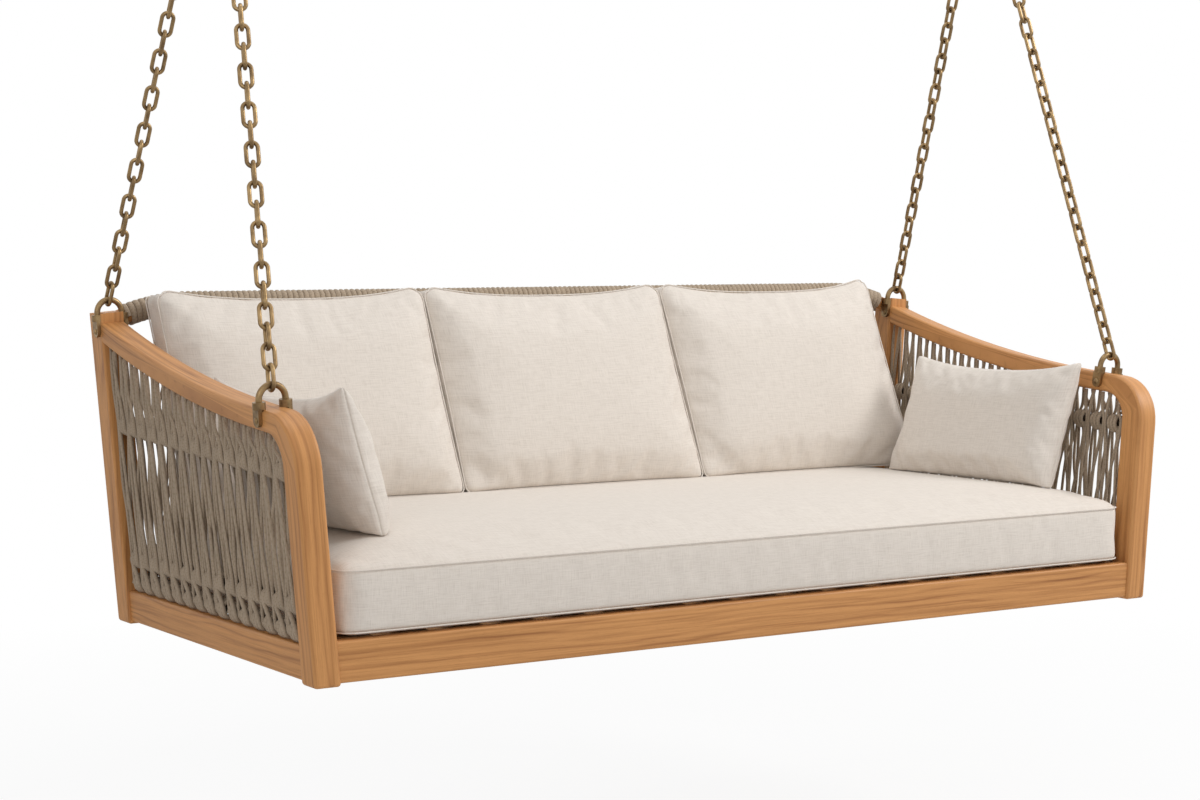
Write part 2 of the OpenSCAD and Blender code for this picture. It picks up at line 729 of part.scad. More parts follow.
module pivot_washers() {
    color("#8b8172") for (s = [-1, 1], k = [-1, 1]) difference() {
        on_pivot(s, k * (cheek_gap / 2 - washer_t / 2 - 0.05) - washer_t / 2,
            k * (cheek_gap / 2 - washer_t / 2 - 0.05) + washer_t / 2, 2 * barrel_r);
        on_pivot(s, -cheek_gap, cheek_gap, pivot_d + 2 * run);
    }
}

// Outline of a cushion: a rectangle with round corners, inset by i, at height z
function outline(w, d, r, i, z) = let (ri = max(r - i, 4), cx = w / 2 - i - ri, cy = d / 2 - i - ri)
    [for (q = [0 : 3], k = [0 : 5]) let (a = 90 * q + 18 * k)
        [(q == 0 || q == 3 ? cx : -cx) + ri * cos(a), (q < 2 ? cy : -cy) + ri * sin(a), z]];

module seat_cushion() {
    w = 2 * seat_half_w;
    d = seat_rear - seat_front;
    color("#e0d6c6") translate([0, (seat_front + seat_rear) / 2, 0]) skin([
        outline(w, d, 40, 36, seat_top + play), outline(w, d, 40, 8, seat_top + 4),
        outline(w, d, 40, 0, seat_low_welt + 2),
        for (c = crown) outline(w, d, 40, c[0], seat_z(c[0]))]);
}

// Outline of a standing cushion, y from its middle, with its upper edge further back
function upright(w, h, r, i, y, lean) =
    [for (p = outline(w, h, r, i, y)) [p[0], p[2] + (p[1] + h / 2) * tan(lean), p[1] + h / 2]];

// Standing cushion with borders of thickness t and faces swollen by a in front and b behind
module pad(w, h, r, t, a, b, lean) {
    skin(concat(
        [for (k = [4 : -1 : 0]) upright(w, h, r, face[k][0], t / 2 + b * face[k][1], lean)],
        [for (f = face) upright(w, h, r, f[0], -t / 2 - a * f[1], lean)]));
}

module back_cushion(k) {
    color("#e4dacb") translate([k * (back_w + back_gap) - back_shift, back_foot_y + back_t / 2,
        seat_z(seat_rear - back_foot_y) + play]) pad(back_w, back_h, 26, back_t, back_swell, rear_swell, back_lean);
}

module lumbar_pillow(s) {
    knife = 10;
    swell = (pillow_t - knife) / 2;
    turn = s < 0 ? left_turn : -right_turn;
    x = bed_w / 2 - post_w - pillow_in;
    foot = seat_half_w - x + pillow_l / 2 * sin(abs(turn)) + knife / 2;     // its innermost end
    color("#e4dacb") half(s) translate([-x, pillow_y, seat_z(foot) + play])
        rotate([0, 0, 90 + turn]) pad(pillow_l, pillow_h, 12, knife, swell, swell, pillow_lean);
}

front_rail();
rear_rail();
side_rail(-1);  // left_side_rail
side_rail(1);  // right_side_rail
arm(-1);  // left_arm
arm(1);  // right_arm
rear_post(-1);  // left_rear_post
rear_post(1);  // right_rear_post
cleat_strip(-1);  // front_cleat
cleat_strip(1);  // rear_cleat
centre_bearer();
seat_slats();
back_top_rail();
back_rail_wrap();
rope_rods(-1);  // left_rope_rods
rope_rods(1);  // right_rope_rods
back_rope_rods();
rope_weave(-1);  // left_rope_weave
rope_weave(1);  // right_rope_weave
back_rope_weave();
shackle(-1, front_seat, arm_slope);  // left_front_shackle
shackle(-1, rear_seat, 0);  // left_rear_shackle
shackle(1, front_seat, arm_slope);  // right_front_shackle
shackle(1, rear_seat, 0);  // right_rear_shackle
shackle_bolts();
front_chain(-1, -20);  // left_front_chain
rear_chain(-1, -18);  // left_rear_chain
front_chain(1, 0);  // right_front_chain
rear_chain(1, 8);  // right_rear_chain
hanging_ring(-1);  // left_hanging_ring
hanging_ring(1);  // right_hanging_ring
swing_eye(-1);  // left_swing_eye
swing_eye(1);  // right_swing_eye
eye_bushes();
ceiling_bracket(-1);  // left_ceiling_bracket
ceiling_bracket(1);  // right_ceiling_bracket
pivot_bolts();
pivot_nuts();
pivot_washers();
seat_cushion();
back_cushion(-1);  // left_back_cushion
back_cushion(0);  // middle_back_cushion
back_cushion(1);  // right_back_cushion
lumbar_pillow(-1);  // left_lumbar_pillow
lumbar_pillow(1);  // right_lumbar_pillow
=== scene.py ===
"""Hanging swing bed: finishes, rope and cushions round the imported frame. Lengths are in metres."""

import math
import random

import bmesh
import bpy
from bpy.props import FloatProperty, FloatVectorProperty, IntProperty, PointerProperty
from mathutils import Matrix, Vector, noise
from mathutils.bvhtree import BVHTree


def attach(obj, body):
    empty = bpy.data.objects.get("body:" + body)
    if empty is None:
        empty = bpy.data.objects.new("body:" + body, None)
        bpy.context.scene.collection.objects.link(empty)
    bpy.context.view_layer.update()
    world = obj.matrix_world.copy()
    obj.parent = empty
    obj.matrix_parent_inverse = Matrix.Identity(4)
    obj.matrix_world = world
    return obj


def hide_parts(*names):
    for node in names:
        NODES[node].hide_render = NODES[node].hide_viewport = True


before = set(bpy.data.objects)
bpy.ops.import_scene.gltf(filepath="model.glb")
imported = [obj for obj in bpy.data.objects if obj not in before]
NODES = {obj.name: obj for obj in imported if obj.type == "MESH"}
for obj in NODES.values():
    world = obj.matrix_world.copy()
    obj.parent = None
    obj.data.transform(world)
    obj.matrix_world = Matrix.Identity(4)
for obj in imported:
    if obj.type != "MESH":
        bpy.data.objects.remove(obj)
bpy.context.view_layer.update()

bl_info = {
    "name": "Hanging Swing Bed",
    "version": (1, 0, 0),
    "blender": (4, 5, 0),
    "location": "3D View > Sidebar > Swing Bed",
    "description": "Teak, rope, bronze and linen for a hanging swing bed",
    "category": "Add Mesh",
}

# All new pieces swing with the bed
BED = "bed"

# The side frames: each stands in a plane of its own, which leans outwards from the feet
SPLAY = math.radians(4.75)
BED_HALF = 1.0  # half the width over the feet
SIDE_MID = 0.026  # from a side's outer face to its middle
FRONT = -0.468  # front of the legs
LEG_BACK = -0.410  # rear of the legs
POST_FRONT = 0.406  # front of the rear posts

# An arm's outline in that plane: straight behind its corner, then swept up to the rear post
SWEEP_START = -0.300
ARM_H = 0.489  # upper face where the sweep starts
ARM_SLOPE = math.radians(4.6)
SWEEP_R = 3.5
ARM_T = 0.040
CORNER_R = 0.100
CORNER_IN_R = 0.058

# Rods and rope columns of the panels
COLUMN_PITCH = 0.053
COLUMN_APEX = 0.0175  # half a column's breadth at its top
ROD_R = 0.0085
SIDE_COLUMNS = 15
BACK_COLUMNS = 35
SIDE_MID_Y = (LEG_BACK + POST_FRONT) / 2
BACK_Y = 0.4435
UPPER_FRONT, UPPER_REAR = 0.374, 0.412
LOWER_ROD, BOTTOM_ROD = 0.137, 0.0871
BACK_RODS = (0.412, 0.148, 0.0981)
END_PAIR_GAP = 0.0105  # from the wood to the middle of a panel's last pair
ROPE_END_GAP = 0.001  # from the wood or the wrapping to the ropes' upper ends

# Back rail: two arcs that rise from the posts to a level middle, and the rope wound round it
RAIL_MID_Z = 0.656489
RAIL_MID_X = 0.84374
RAIL_BEND_R = 0.419389
RAIL_BEND = math.radians(23.9132)
WRAP_R = 0.0245
WRAP_IN_R = 0.0172  # just clear of the bare rail
WRAP_SHORT = 0.025  # bare rail at each end

# Points round a cord, and points in one turn of rope round a rod or rail
CORD_POINTS = 8
TURN_POINTS = 12

# Camera of the photograph, fitted to the bed's corners
PHOTO_WIDTH_PX = 1200
FOCAL_PX = 2395.6
SENSOR_MM = 36
EYE = (-2.798, -4.2245, 0.7698)
EYE_TURN, EYE_DIP, EYE_ROLL = 0.5661, 0.0638, 0.0025


def srgb(code):
    """Linear colour of an sRGB hex code."""
    parts = [int(code[i : i + 2], 16) / 255 for i in (1, 3, 5)]
    return tuple(c / 12.92 if c <= 0.04045 else ((c + 0.055) / 1.055) ** 2.4 for c in parts) + (1.0,)


def colour(name, code, text):
    """A colour that can be changed in the sidebar."""
    return FloatVectorProperty(
        name=name, description=text, subtype="COLOR", size=4, min=0, max=1, default=srgb(code),
    )


def length(name, value, text):
    """A length that can be changed in the sidebar, from a quarter of its value to four times as much."""
    return FloatProperty(
        name=name, description=text, unit="LENGTH", default=value, min=value / 4, max=value * 4,
    )


class SwingBedFinish(bpy.types.PropertyGroup):
    """Colours and small sizes of the swing bed's finish."""

    teak_light: colour("Teak, pale grain", "#d0955b", "Colour of the teak between its growth rings")
    teak_dark: colour("Teak, dark grain", "#965e32", "Colour of the teak's growth rings")
    bronze: colour("Bronze", "#a78c64", "Colour of the antiqued metal where it is worn")
    patina: colour("Patina", "#7a6346", "Colour of the antiqued metal in its hollows")
    rope: colour("Rope", "#b09e89", "Colour of the rope")
    linen: colour("Linen", "#e4dbd1", "Colour of the cushions' linen")
    ring_gap: length("Ring spacing", 0.013, "Spacing of the teak's growth rings")
    rope_d: length("Rope diameter", 0.009, "Diameter of the woven rope")
    wrap_pitch: length("Wrapping pitch", 0.0126, "Spacing of the rope's turns on the back rail")
    piping_d: length("Piping diameter", 0.003, "Diameter of the cushions' piping")
    turns: IntProperty(name="Turns", description="Turns of rope in a winding", default=3, min=2, max=4)


def finish():
    """The colours and sizes as they are set in the sidebar."""
    return bpy.context.scene.swing_bed


# ---------------------------------------------------------------- materials


# A Mix node's factor and its two colours, by their places among its inputs
FACTOR, FIRST, SECOND = 0, 6, 7


def add(tree, kind, inputs=None, stops=(), **settings):
    """Adds a shader node: its settings, its inputs and a ramp's stops. A node given as an input is linked
    by its first output in use."""
    node = tree.nodes.new("ShaderNode" + kind)
    for key, value in settings.items():
        setattr(node, key, value)
    for key, value in (inputs or {}).items():
        if isinstance(value, bpy.types.Node):
            value = next(s for s in value.outputs if s.enabled)
        if isinstance(value, bpy.types.NodeSocket):
            tree.links.new(value, node.inputs[key])
        else:
            node.inputs[key].default_value = value
    if stops:
        elements = node.color_ramp.elements
        while len(elements) < len(stops):
            elements.new(0.5)
        for element, (place, value) in zip(elements, stops):
            element.position = place
            element.color = (*value, 1)[:4]
    return node


def new_material(name):
    """A material with an empty node tree, as (material, tree)."""
    made = bpy.data.materials.new(name)
    made.use_nodes = True
    made.node_tree.nodes.clear()
    return made, made.node_tree


def grey(v):
    """A neutral colour."""
    return (v, v, v, 1)


def drawn_noise(tree, place, scale, detail, roughness=0.5, shift=0.0):
    """Noise drawn out along a surface; scale is in features to a metre, each way."""
    laid = add(tree, "Mapping", {"Vector": place, "Scale": scale, "Location": (shift, shift, shift)})
    return add(tree, "TexNoise", {"Vector": laid, "Scale": 1, "Detail": detail, "Roughness": roughness})


def tinted(tree, base, strength, pattern, stops):
    """A colour multiplied by the tints that a pattern runs through."""
    tint = add(tree, "ValToRGB", {"Fac": pattern}, stops)
    return add(
        tree, "Mix", {FACTOR: strength, FIRST: base, SECOND: tint}, data_type="RGBA", blend_type="MULTIPLY",
    )


def oiled_teak(name, light, dark, rough):
    """Teak, planed, sanded and oiled: growth rings drawn out along the grain, fine fibres, open pores."""
    made, tree = new_material(name)
    grain = add(tree, "Attribute", attribute_name="grain").outputs["Vector"]
    # Rings wander slowly along a board: the warp is over five times longer than it is wide
    slow = add(tree, "Mapping", {"Vector": grain, "Scale": (0.9, 5, 5)})
    warp = add(tree, "TexNoise", {"Vector": slow, "Scale": 1.6, "Detail": 3, "Roughness": 0.55})
    shift = add(tree, "VectorMath", {0: warp.outputs["Color"], 1: (0.5, 0.5, 0.5)}, operation="SUBTRACT")
    push = add(tree, "VectorMath", {0: shift, "Scale": 0.06}, operation="SCALE")
    drawn = add(tree, "Mapping", {"Vector": grain, "Scale": (0.02, 1, 1)})
    place = add(tree, "VectorMath", {0: drawn, 1: push}, operation="ADD")
    # A wave node's rings are 0.314 / scale apart
    rings = add(
        tree, "TexWave",
        {
            "Vector": place, "Scale": 0.314 / finish().ring_gap, "Distortion": 2.4, "Detail": 3,
            "Detail Scale": 1.6,
        },
        wave_type="RINGS", rings_direction="X",
    ).outputs["Fac"]
    # Some stretches of a ring are dark and most are faint
    patchy = drawn_noise(tree, grain, (3.2, 42, 42), 1.5)
    strength = add(tree, "MapRange", {
        "Value": patchy, "From Min": 0.38, "From Max": 0.7, "To Min": 0.06, "To Max": 0.9,
    })
    ring_dark = [(0.0, grey(0.8)), (0.14, grey(0.42)), (0.5, grey(0.14)), (1.0, grey(0))]
    ring_dark = add(tree, "ValToRGB", {"Fac": rings}, ring_dark)
    ring_dark = add(tree, "Math", {0: ring_dark, 1: strength}, operation="MULTIPLY")
    base = add(tree, "Mix", {FACTOR: ring_dark, FIRST: light, SECOND: dark}, data_type="RGBA")
    # Tones 8 mm wide, fibres 2 mm wide and pores 0.7 mm wide: coarser than the real ones, so that they show
    tone = drawn_noise(tree, grain, (1.5, 125, 125), 3, 0.6)
    fibre = drawn_noise(tree, grain, (9, 480, 480), 4, 0.6)
    pore = drawn_noise(tree, grain, (55, 1500, 1500), 2)
    tones = [(0.3, (0.77, 0.72, 0.67)), (0.5, (1, 1, 1)), (0.72, (1.08, 1.085, 1.09))]
    fibres = [(0.3, (0.86, 0.84, 0.81)), (0.52, (1, 1, 1)), (0.75, (1.05, 1.045, 1.04))]
    pores = [(0.3, (0.68, 0.63, 0.58)), (0.4, (1, 1, 1))]
    for amount, pattern, stops in ((1.0, tone, tones), (1.0, fibre, fibres), (0.45, pore, pores)):
        base = tinted(tree, base, amount, pattern, stops)
    gloss = add(tree, "MapRange", {"Value": fibre, "To Min": rough + 0.08, "To Max": rough - 0.06})
    bump = add(tree, "Bump", {"Height": fibre, "Strength": 0.25, "Distance": 0.0006})
    bump = add(tree, "Bump", {"Height": rings, "Strength": 0.12, "Distance": 0.0005, "Normal": bump})
    shader = add(tree, "BsdfPrincipled", {
        "Base Color": base, "Roughness": gloss, "Normal": bump, "Specular IOR Level": 0.32,
    })
    add(tree, "OutputMaterial", {"Surface": shader})
    return made


def antique_bronze(name, worn, dark, rough):
    """Bronze, cast or bent, tumbled and antiqued: dark patina with paler, smoother worn patches."""
    made, tree = new_material(name)
    place = add(tree, "TexCoord").outputs["Object"]
    # Worn patches 22 mm wide, and a grain 1 mm wide from casting and tumbling
    patch = add(tree, "TexNoise", {"Vector": place, "Scale": 45, "Detail": 4, "Roughness": 0.55})
    speck = add(tree, "TexNoise", {"Vector": place, "Scale": 800, "Detail": 2})
    wear = add(tree, "ValToRGB", {"Fac": patch}, [(0.34, grey(0)), (0.66, grey(1))])
    base = add(tree, "Mix", {FACTOR: wear, FIRST: dark, SECOND: worn}, data_type="RGBA")
    base = tinted(tree, base, 0.6, speck, [(0.35, (0.88, 0.87, 0.85)), (0.6, (1.03, 1.03, 1.03))])
    gloss = add(tree, "MapRange", {
        "Value": patch, "From Min": 0.35, "From Max": 0.65, "To Min": rough + 0.1, "To Max": rough,
    })
    bump = add(tree, "Bump", {"Height": speck, "Strength": 0.08, "Distance": 0.0003})
    shader = add(tree, "BsdfPrincipled", {
        "Base Color": base, "Roughness": gloss, "Metallic": 0.9, "Normal": bump,
    })
    add(tree, "OutputMaterial", {"Surface": shader})
    return made


def braided_rope(name, base_colour, painted_groove_shade):
    """Braided synthetic rope, dyed in the yarn: matte, with crossing strands, painted shade in the grooves
    between them and a slightly fuzzy face.
    """
    made, tree = new_material(name)
    lay = add(tree, "SeparateXYZ", {0: add(tree, "UVMap", uv_map="lay")})
    # Strands pass every 6.6 mm each way, coarser than the real braid so that they show. On the map, u is
    # metres along the rope and v runs from 0 to 1 around it
    along = add(tree, "Math", {0: lay.outputs[0], 1: math.tau / 0.0066}, operation="MULTIPLY")
    around = add(tree, "Math", {0: lay.outputs[1], 1: math.tau * 2}, operation="MULTIPLY")
    ribs = []
    for turn in ("ADD", "SUBTRACT"):
        angle = add(tree, "Math", {0: along, 1: around}, operation=turn)
        ribs.append(add(tree, "Math", {0: angle}, operation="SINE"))
    crossing = add(tree, "Math", {0: ribs[0], 1: ribs[1]}, operation="MAXIMUM")
    place = add(tree, "TexCoord").outputs["Object"]
    fuzz = add(tree, "TexNoise", {"Vector": place, "Scale": 650, "Detail": 3, "Roughness": 0.7})
    patch = add(tree, "TexNoise", {"Vector": place, "Scale": 28, "Detail": 2})
    raised = add(tree, "MapRange", {"Value": crossing, "From Min": -0.9, "From Max": 1})
    # Painted shade: where the strands dip into the grooves between them, the colour runs towards a darker
    # tone
    base = add(tree, "ValToRGB", {"Fac": raised}, [(0.0, painted_groove_shade), (0.6, base_colour)])
    base = tinted(tree, base, 1.0, patch, [(0.3, (0.92, 0.915, 0.91)), (0.7, (1.05, 1.05, 1.05))])
    base = tinted(tree, base, 0.7, fuzz, [(0.3, (0.9, 0.89, 0.88)), (0.7, (1.06, 1.06, 1.06))])
    bump = add(tree, "Bump", {"Height": crossing, "Strength": 0.12, "Distance": 0.0005})
    bump = add(tree, "Bump", {"Height": fuzz, "Strength": 0.15, "Distance": 0.0004, "Normal": bump})
    shader = add(tree, "BsdfPrincipled", {
        "Base Color": base, "Roughness": 0.88, "Normal": bump, "Sheen Weight": 0.12, "Sheen Roughness": 0.5,
        "Specular IOR Level": 0.25,
    })
    add(tree, "OutputMaterial", {"Surface": shader})
    return made


def woven_linen(name, base_colour):
    """Linen-look upholstery cloth, plain woven from uneven yarn: streaky threads both ways, slubs, matte."""
    made, tree = new_material(name)
    uv = add(tree, "UVMap", uv_map="weave")
    # Threads 1.3 mm apart, about twice the real spacing so that they show, each streak 24 mm long
    threads = [drawn_noise(tree, uv, scale, 2, 0.6, shift)
               for scale, shift in (((760, 42, 1), 0.0), ((42, 760, 1), 7.3))]
    slubs = [drawn_noise(tree, uv, scale, 1, shift=shift)
             for scale, shift in (((420, 26, 1), 3.1), ((26, 420, 1), 5.9))]
    both = add(tree, "Math", {0: threads[0], 1: threads[1]}, operation="ADD")
    slub = add(tree, "Math", {0: slubs[0], 1: slubs[1]}, operation="ADD")
    thread_tone = add(tree, "MapRange", {"Value": both, "From Min": 0.7, "From Max": 1.3})
    slub_tone = add(tree, "MapRange", {"Value": slub, "From Min": 0.75, "From Max": 1.25})
    base = tinted(tree, base_colour, 0.9, thread_tone,
                  [(0.1, (0.90, 0.89, 0.88)), (0.5, (1, 1, 1)), (0.9, (1.04, 1.042, 1.045))])
    base = tinted(tree, base, 0.9, slub_tone,
                  [(0.1, (0.965, 0.96, 0.952)), (0.5, (1, 1, 1)), (0.85, (1.015, 1.015, 1.015))])
    bump = add(tree, "Bump", {"Height": both, "Strength": 0.3, "Distance": 0.0005})
    shader = add(tree, "BsdfPrincipled", {
        "Base Color": base, "Roughness": 0.93, "Normal": bump, "Sheen Weight": 0.2, "Sheen Roughness": 0.45,
        "Specular IOR Level": 0.2,
    })
    add(tree, "OutputMaterial", {"Surface": shader})
    return made


def material(name):
    """The named finish, made when it is first asked for."""
    if name in bpy.data.materials:
        return bpy.data.materials[name]
    s = finish()
    recipes = {
        "oiled_teak": (oiled_teak, tuple(s.teak_light), tuple(s.teak_dark), 0.46),
        "sawn_slat_teak": (oiled_teak, srgb("#c49a6c"), srgb("#94683f"), 0.62),
        "antique_bronze": (antique_bronze, tuple(s.bronze), tuple(s.patina), 0.36),
        "dark_bronze_rod": (antique_bronze, srgb("#6b5f50"), srgb("#443a2e"), 0.5),
        "bearing_brass": (antique_bronze, srgb("#b6974f"), srgb("#8a6c34"), 0.28),
        # The rope's second colour is the painted shade in the braid's grooves
        "braided_rope": (braided_rope, tuple(s.rope), srgb("#a08f79")),
        "woven_linen": (woven_linen, tuple(s.linen)),
    }
    recipe, *values = recipes[name]
    return recipe(name, *values)


# ---------------------------------------------------------------- making pieces


def new_piece(mesh, name, finish_name, slot, replaced=()):
    """A finished piece of the bed: its material and the nodes it stands for. The slot argument is not used.
    """
    obj = bpy.data.objects.new(name, mesh)
    bpy.context.scene.collection.objects.link(obj)
    mesh.materials.clear()
    mesh.materials.append(material(finish_name))
    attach(obj, BED)
    if replaced:
        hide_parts(*replaced)
    return obj


def to_world(side, across, y, up):
    """A point of a side frame's own plane; side is -1 for the left frame and 1 for the right one."""
    x = across * math.cos(SPLAY) - up * math.sin(SPLAY) - BED_HALF
    return Vector((-side * x, y, across * math.sin(SPLAY) + up * math.cos(SPLAY)))


def to_side(side, p):
    """The (across, y, up) of a point in a side frame's own plane."""
    x, z = -side * p[0] + BED_HALF, p[2]
    return x * math.cos(SPLAY) + z * math.sin(SPLAY), p[1], -x * math.sin(SPLAY) + z * math.cos(SPLAY)


def tubes(name, paths, radius, closed=False):
    """Cords in one mesh, with a UV map 'lay' of metres along. A point of a path is its place, its thickness
    factor and a vector, along which the cord is as many times broader as the vector is long."""
    curve = bpy.data.curves.new(name, "CURVE")
    curve.dimensions = "3D"
    curve.bevel_depth = radius
    curve.bevel_resolution = (CORD_POINTS - 4) // 2
    curve.twist_mode = "MINIMUM"
    for path in paths:
        spline = curve.splines.new("POLY")
        spline.points.add(len(path) - 1)
        spline.use_cyclic_u = closed
        for point, p in zip(spline.points, path):
            point.co = (*p[:3], 1)
            point.radius = p[3] if len(p) > 3 else 1
    holder = bpy.data.objects.new(name, curve)
    bpy.context.scene.collection.objects.link(holder)
    mesh = bpy.data.meshes.new_from_object(holder)
    bpy.data.objects.remove(holder)
    bpy.data.curves.remove(curve)
    mesh.name = name
    if len(mesh.vertices) != CORD_POINTS * sum(len(path) for path in paths):
        raise RuntimeError(f"{name} has {len(mesh.vertices)} vertices, which its paths don't account for")

    first = 0
    for path in paths:
        for p in path:
            if len(p) > 4:
                wide = Vector(p[4:7])
                extra = wide.length - 1
                wide.normalize()
                for v in mesh.vertices[first : first + CORD_POINTS]:
                    v.co += wide * (v.co - Vector(p[:3])).dot(wide) * extra
            first += CORD_POINTS

    # The map that comes with a curve runs from 0 to 1 along each path
    uv = mesh.uv_layers[0]
    uv.name = "lay"
    first = 0
    for path in paths:
        count = CORD_POINTS * (len(path) if closed else len(path) - 1)
        run = sum((Vector(b[:3]) - Vector(a[:3])).length for a, b in zip(path, path[1:]))
        for polygon in mesh.polygons[first : first + count]:
            for loop in polygon.loop_indices:
                uv.data[loop].uv.x *= run
        first += count

    bm = bmesh.new()
    bm.from_mesh(mesh)
    bmesh.ops.remove_doubles(bm, verts=bm.verts, dist=1e-6)
    ends = [e for e in bm.edges if e.is_boundary]
    if ends:
        bmesh.ops.holes_fill(bm, edges=ends, sides=CORD_POINTS)
    bmesh.ops.recalc_face_normals(bm, faces=bm.faces)
    bm.to_mesh(mesh)
    bm.free()
    mesh.shade_smooth()
    mesh.set_sharp_from_angle(angle=math.radians(60))
    return mesh


def eased(points, steps):
    """A smooth path through control points, each stretch cut into that many steps."""
    path = []
    pts = [Vector(p) for p in points]
    for i in range(len(pts) - 1):
        p0, p1, p2, p3 = pts[max(i - 1, 0)], pts[i], pts[i + 1], pts[min(i + 2, len(pts) - 1)]
        for k in range(steps):
            t = k / steps
            path.append(0.5 * (2 * p1 + (p2 - p0) * t + (2 * p0 - 5 * p1 + 4 * p2 - p3) * t * t
                               + (3 * p1 - p0 - 3 * p2 + p3) * t ** 3))
    return path + [pts[-1]]


# ---------------------------------------------------------------- timber


def arm_sweep(radius, y):
    """Height of an arm's swept face at y, its upper face for SWEEP_R."""
    cy, cz = SWEEP_START - SWEEP_R * math.sin(ARM_SLOPE), ARM_H + SWEEP_R * math.cos(ARM_SLOPE)
    return cz - math.sqrt(radius ** 2 - (y - cy) ** 2)


def arm_top(y):
    """Upper face of an arm behind its corner, in its own plane."""
    if y < SWEEP_START:
        return ARM_H + (y - SWEEP_START) * math.tan(ARM_SLOPE)
    return arm_sweep(SWEEP_R, y)


def arm_under(y):
    """Underside of an arm, its inner corner included."""
    cy = LEG_BACK + CORNER_IN_R
    cz = ARM_H + (cy - SWEEP_START) * math.tan(ARM_SLOPE) - (ARM_T + CORNER_IN_R) / math.cos(ARM_SLOPE)
    if y < cy + CORNER_IN_R * math.cos(math.pi / 2 + ARM_SLOPE):
        return cz + math.sqrt(max(CORNER_IN_R ** 2 - (y - cy) ** 2, 0))
    if y < SWEEP_START:
        return arm_top(y) - ARM_T / math.cos(ARM_SLOPE)
    return arm_sweep(SWEEP_R + ARM_T, y)


def arm_grain(side):
    """Grain that runs up the leg, round the corner and back along the arm."""
    cy = FRONT + CORNER_R
    cz = ARM_H + (cy - SWEEP_START) * math.tan(ARM_SLOPE) - CORNER_R / math.cos(ARM_SLOPE)
    middle_r = 0.08
    leg_reach = 0.1

    def grain(p):
        across, y, z = to_side(side, p)
        if y < cy and z > cz:
            turn = math.atan2(z - cz, cy - y)
            return turn * middle_r, math.hypot(z - cz, cy - y) - CORNER_R, across
        if z <= cz and y < cy + leg_reach:
            return z - cz, -(y - FRONT), across
        return math.pi / 2 * middle_r + (y - cy), z - arm_top(y), across

    return grain


def sticks(bm):
    """The vertices of each separate stick."""
    left = set(bm.verts)
    for start in bm.verts:
        if start not in left:
            continue
        left.discard(start)
        stack, stick = [start], []
        while stack:
            v = stack.pop()
            stick.append(v)
            for e in v.link_edges:
                w = e.other_vert(v)
                if w in left:
                    left.discard(w)
                    stack.append(w)
        yield stick


def grain_layer(bm, rng, grain):
    """The attribute 'grain': along, through and across each stick, by a function or by its own spans."""
    layer = bm.verts.layers.float_vector.new("grain")
    for stick in sticks(bm):
        span = [max(v.co[k] for v in stick) - min(v.co[k] for v in stick) for k in range(3)]
        order = sorted(range(3), key=lambda k: -span[k])
        middle = [sum(v.co[k] for v in stick) / len(stick) for k in range(3)]
        # The pith of the tree lies outside the stick, on a side of its own
        along = rng.uniform(-4, 4)
        through = rng.uniform(0.05, 0.11) * rng.choice((-1, 1))
        away = Vector((along, through, rng.uniform(0.02, 0.07)))
        for v in stick:
            if grain:
                v[layer] = Vector(grain(v.co)) + away
            else:
                v[layer] = Vector([v.co[k] - middle[k] for k in order]) + away


def ease_edges(bm, edges, offset, segments, clamp):
    """Rounds edges over."""
    bmesh.ops.bevel(bm, geom=edges, offset=offset, offset_type="OFFSET", segments=segments, profile=0.5,
                    affect="EDGES", clamp_overlap=clamp, material=-1)


def timber(node, finish_name, slot, ease, seed, grain=None):
    """A wooden part as one clean piece: eased edges, and the grain along each stick."""
    corner = math.radians(40)
    foot_round = 0.0065
    short_edge = 0.02
    bm = bmesh.new()
    bm.from_mesh(NODES[node].data)
    bmesh.ops.remove_doubles(bm, verts=bm.verts, dist=1e-5)
    bmesh.ops.dissolve_limit(bm, angle_limit=math.radians(0.5), verts=bm.verts, edges=bm.edges)
    if ease:
        long_edges = [e for e in bm.edges if len(e.link_faces) == 2 and e.calc_face_angle(0) > corner
                      and e.calc_length() > short_edge]
        ease_edges(bm, long_edges, ease, 2, True)
    # Feet are rounded more than the long edges
    feet = [e for e in bm.edges if all(v.co.z < 1e-4 for v in e.verts) and e.calc_face_angle(0) > corner]
    if feet:
        ease_edges(bm, feet, foot_round, 4, False)
    grain_layer(bm, random.Random(seed), grain)
    name = node + "_timber"
    mesh = bpy.data.meshes.new(name)
    bm.to_mesh(mesh)
    bm.free()
    mesh.shade_smooth()
    mesh.set_sharp_from_angle(angle=math.radians(32))
    obj = new_piece(mesh, name, finish_name, slot, (node,))
    weighted = obj.modifiers.new("Even shading", "WEIGHTED_NORMAL")
    weighted.keep_sharp = True


class SWINGBED_OT_timber(bpy.types.Operator):
    """Teak frame, seat slats, cleats and back rail, with the grain along each stick"""

    bl_idname = "swing_bed.timber"
    bl_label = "Teak Frame"

    def execute(self, context):
        looks = {"teak": "oiled_teak", "slat_wood": "sawn_slat_teak"}
        # Node, slot, and how much its long edges are eased beyond the solid's own chamfers
        rows = [
            ("front_rail", "teak", 0.0018), ("rear_rail", "teak", 0.0018),
            ("left_side_rail", "teak", 0.0018), ("right_side_rail", "teak", 0.0018),
            ("left_rear_post", "teak", 0), ("right_rear_post", "teak", 0),
            ("left_arm", "teak", 0), ("right_arm", "teak", 0), ("back_top_rail", "teak", 0),
            ("front_cleat", "slat_wood", 0.001), ("rear_cleat", "slat_wood", 0.001),
            ("centre_bearer", "slat_wood", 0.001), ("seat_slats", "slat_wood", 0),
        ]
        bent = {"left_arm": arm_grain(-1), "right_arm": arm_grain(1)}
        for seed, (node, slot, ease) in enumerate(rows, 11):
            timber(node, looks[slot], slot, ease, seed, bent.get(node))
        return {"FINISHED"}


